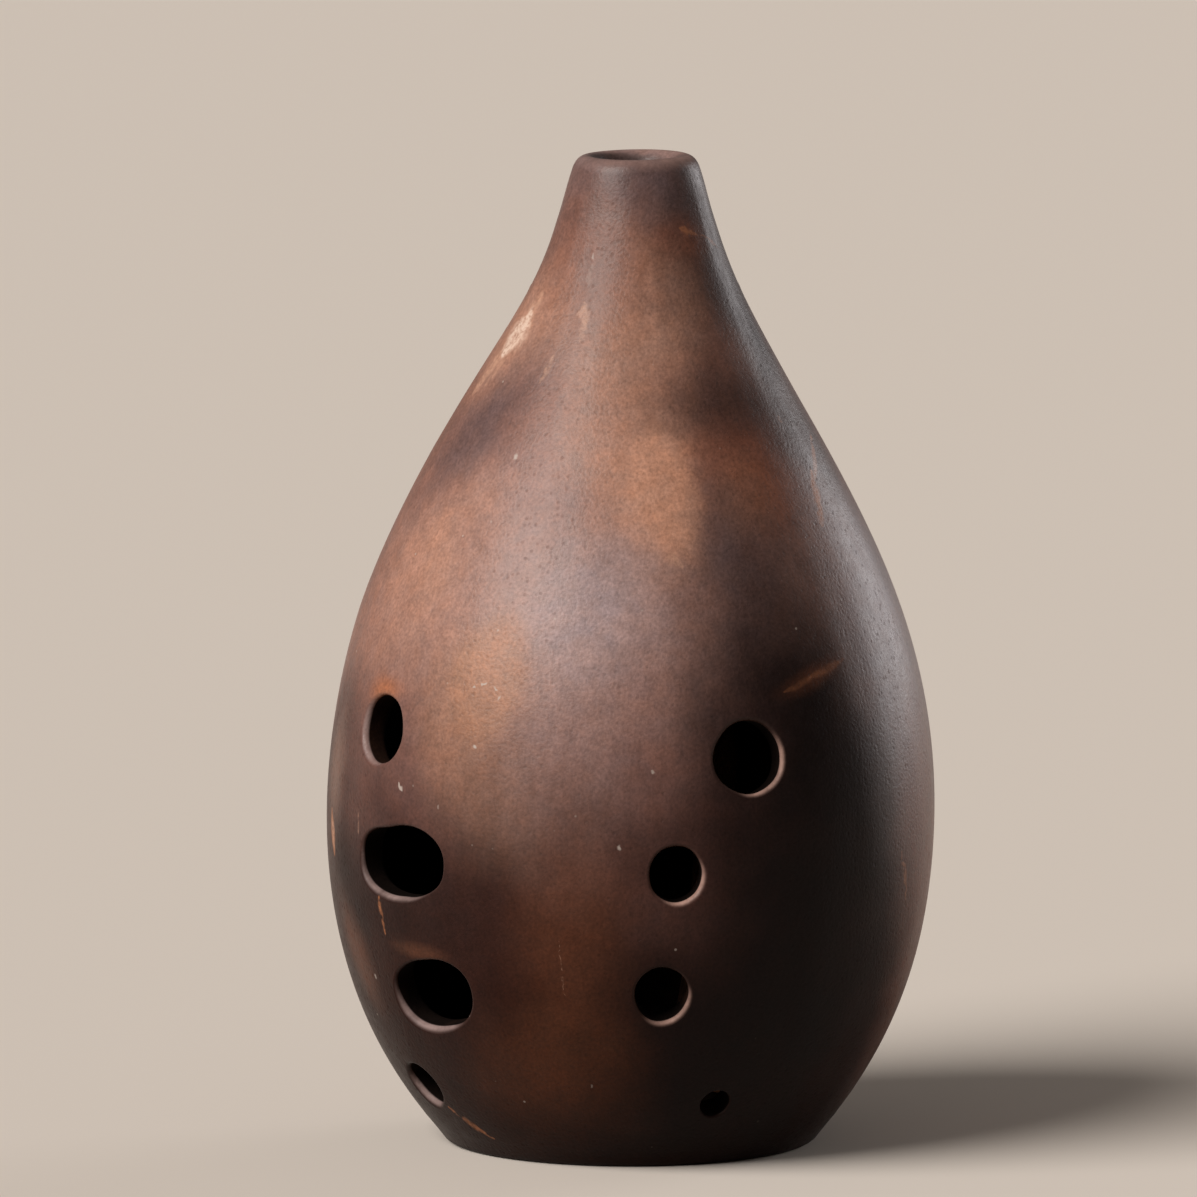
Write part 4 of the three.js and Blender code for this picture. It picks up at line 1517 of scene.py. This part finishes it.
def makeFloor():
    # a flat disc in rings that widen outwards
    turn = np.linspace(0, 2 * math.pi, studio["floorSides"], endpoint=False)
    rings = turnedPoint(np.array(studio["floorRings"])[:, None], 0.0, turn)
    points = np.concatenate([np.zeros((1, 3)), rings.reshape(-1, 3)])
    ids = np.arange(1, len(points)).reshape(rings.shape[:2])
    faces = np.stack([np.zeros_like(ids[0]), ids[0], np.roll(ids[0], -1)], axis=-1).tolist()
    for inner, outer in zip(ids, ids[1:]):
        faces += np.stack([inner, outer, np.roll(outer, -1), np.roll(inner, -1)], axis=-1).tolist()
    mesh = bpy.data.meshes.new("floor")
    mesh.from_pydata(points.tolist(), [], faces)
    floor = bpy.data.objects.new("floor", mesh)
    bpy.context.scene.collection.objects.link(floor)
    material, tree, shader, _ = newMaterial("floorPaint")
    color = mixColor(tree, seenShare(tree), studio["floorBounce"], studio["floorColor"])
    finish = {"Roughness": studio["floorRoughness"], "Specular IOR Level": studio["floorSpecular"]}
    fillInputs(tree, shader, {"Base Color": color} | finish)
    mesh.materials.append(material)


def makeWorld():
    # soft light all round
    world = bpy.data.worlds.new("studio")
    bpy.context.scene.world = world
    world.use_nodes = True
    tree = world.node_tree
    tree.nodes.clear()
    inputs = {"Color": studio["worldColor"], "Strength": studio["worldLight"]}
    background = addNode(tree, "ShaderNodeBackground", inputs)
    output = addNode(tree, "ShaderNodeOutputWorld")
    tree.links.new(background.outputs[0], output.inputs["Surface"])


def makeLamps():
    # even light from far away, softened as by a wide diffuser
    for name, (turn, lift, apparentSize, strength, color) in lamps.items():
        data = bpy.data.lights.new(name, "SUN")
        data.angle = apparentSize * degree
        data.energy = strength
        data.color = color
        lamp = bpy.data.objects.new(name, data)
        toward = towardTurn(studio["cameraTurn"] + turn, lift)
        lamp.location = toward
        lamp.rotation_mode = "QUATERNION"
        lamp.rotation_quaternion = (-toward).to_track_quat("-Z", "Y")
        bpy.context.scene.collection.objects.link(lamp)


def makeCamera():
    # a long lens that looks down a little, set across so that the vessel stands at its place in the frame
    data = bpy.data.cameras.new("camera")
    data.sensor_width = studio["sensor"]
    data.lens = studio["lens"]
    data.clip_start = studio["clipStart"]
    data.clip_end = studio["clipEnd"]
    camera = bpy.data.objects.new("camera", data)
    back = towardTurn(studio["cameraTurn"], studio["cameraLift"])
    right = Vector((0, 0, 1)).cross(back).normalized()
    up = back.cross(right)
    aim = Vector((0, 0, studio["aimHeight"])) + right * studio["aimRight"] + up * studio["aimUp"]
    camera.location = aim + back * studio["cameraDistance"]
    camera.rotation_mode = "QUATERNION"
    camera.rotation_quaternion = (-back).to_track_quat("-Z", "Y")
    bpy.context.scene.collection.objects.link(camera)
    bpy.context.scene.camera = camera


makeFloor()
makeWorld()
makeLamps()
makeCamera()
bpy.context.scene.view_settings.view_transform = "Standard"
print("studio made")
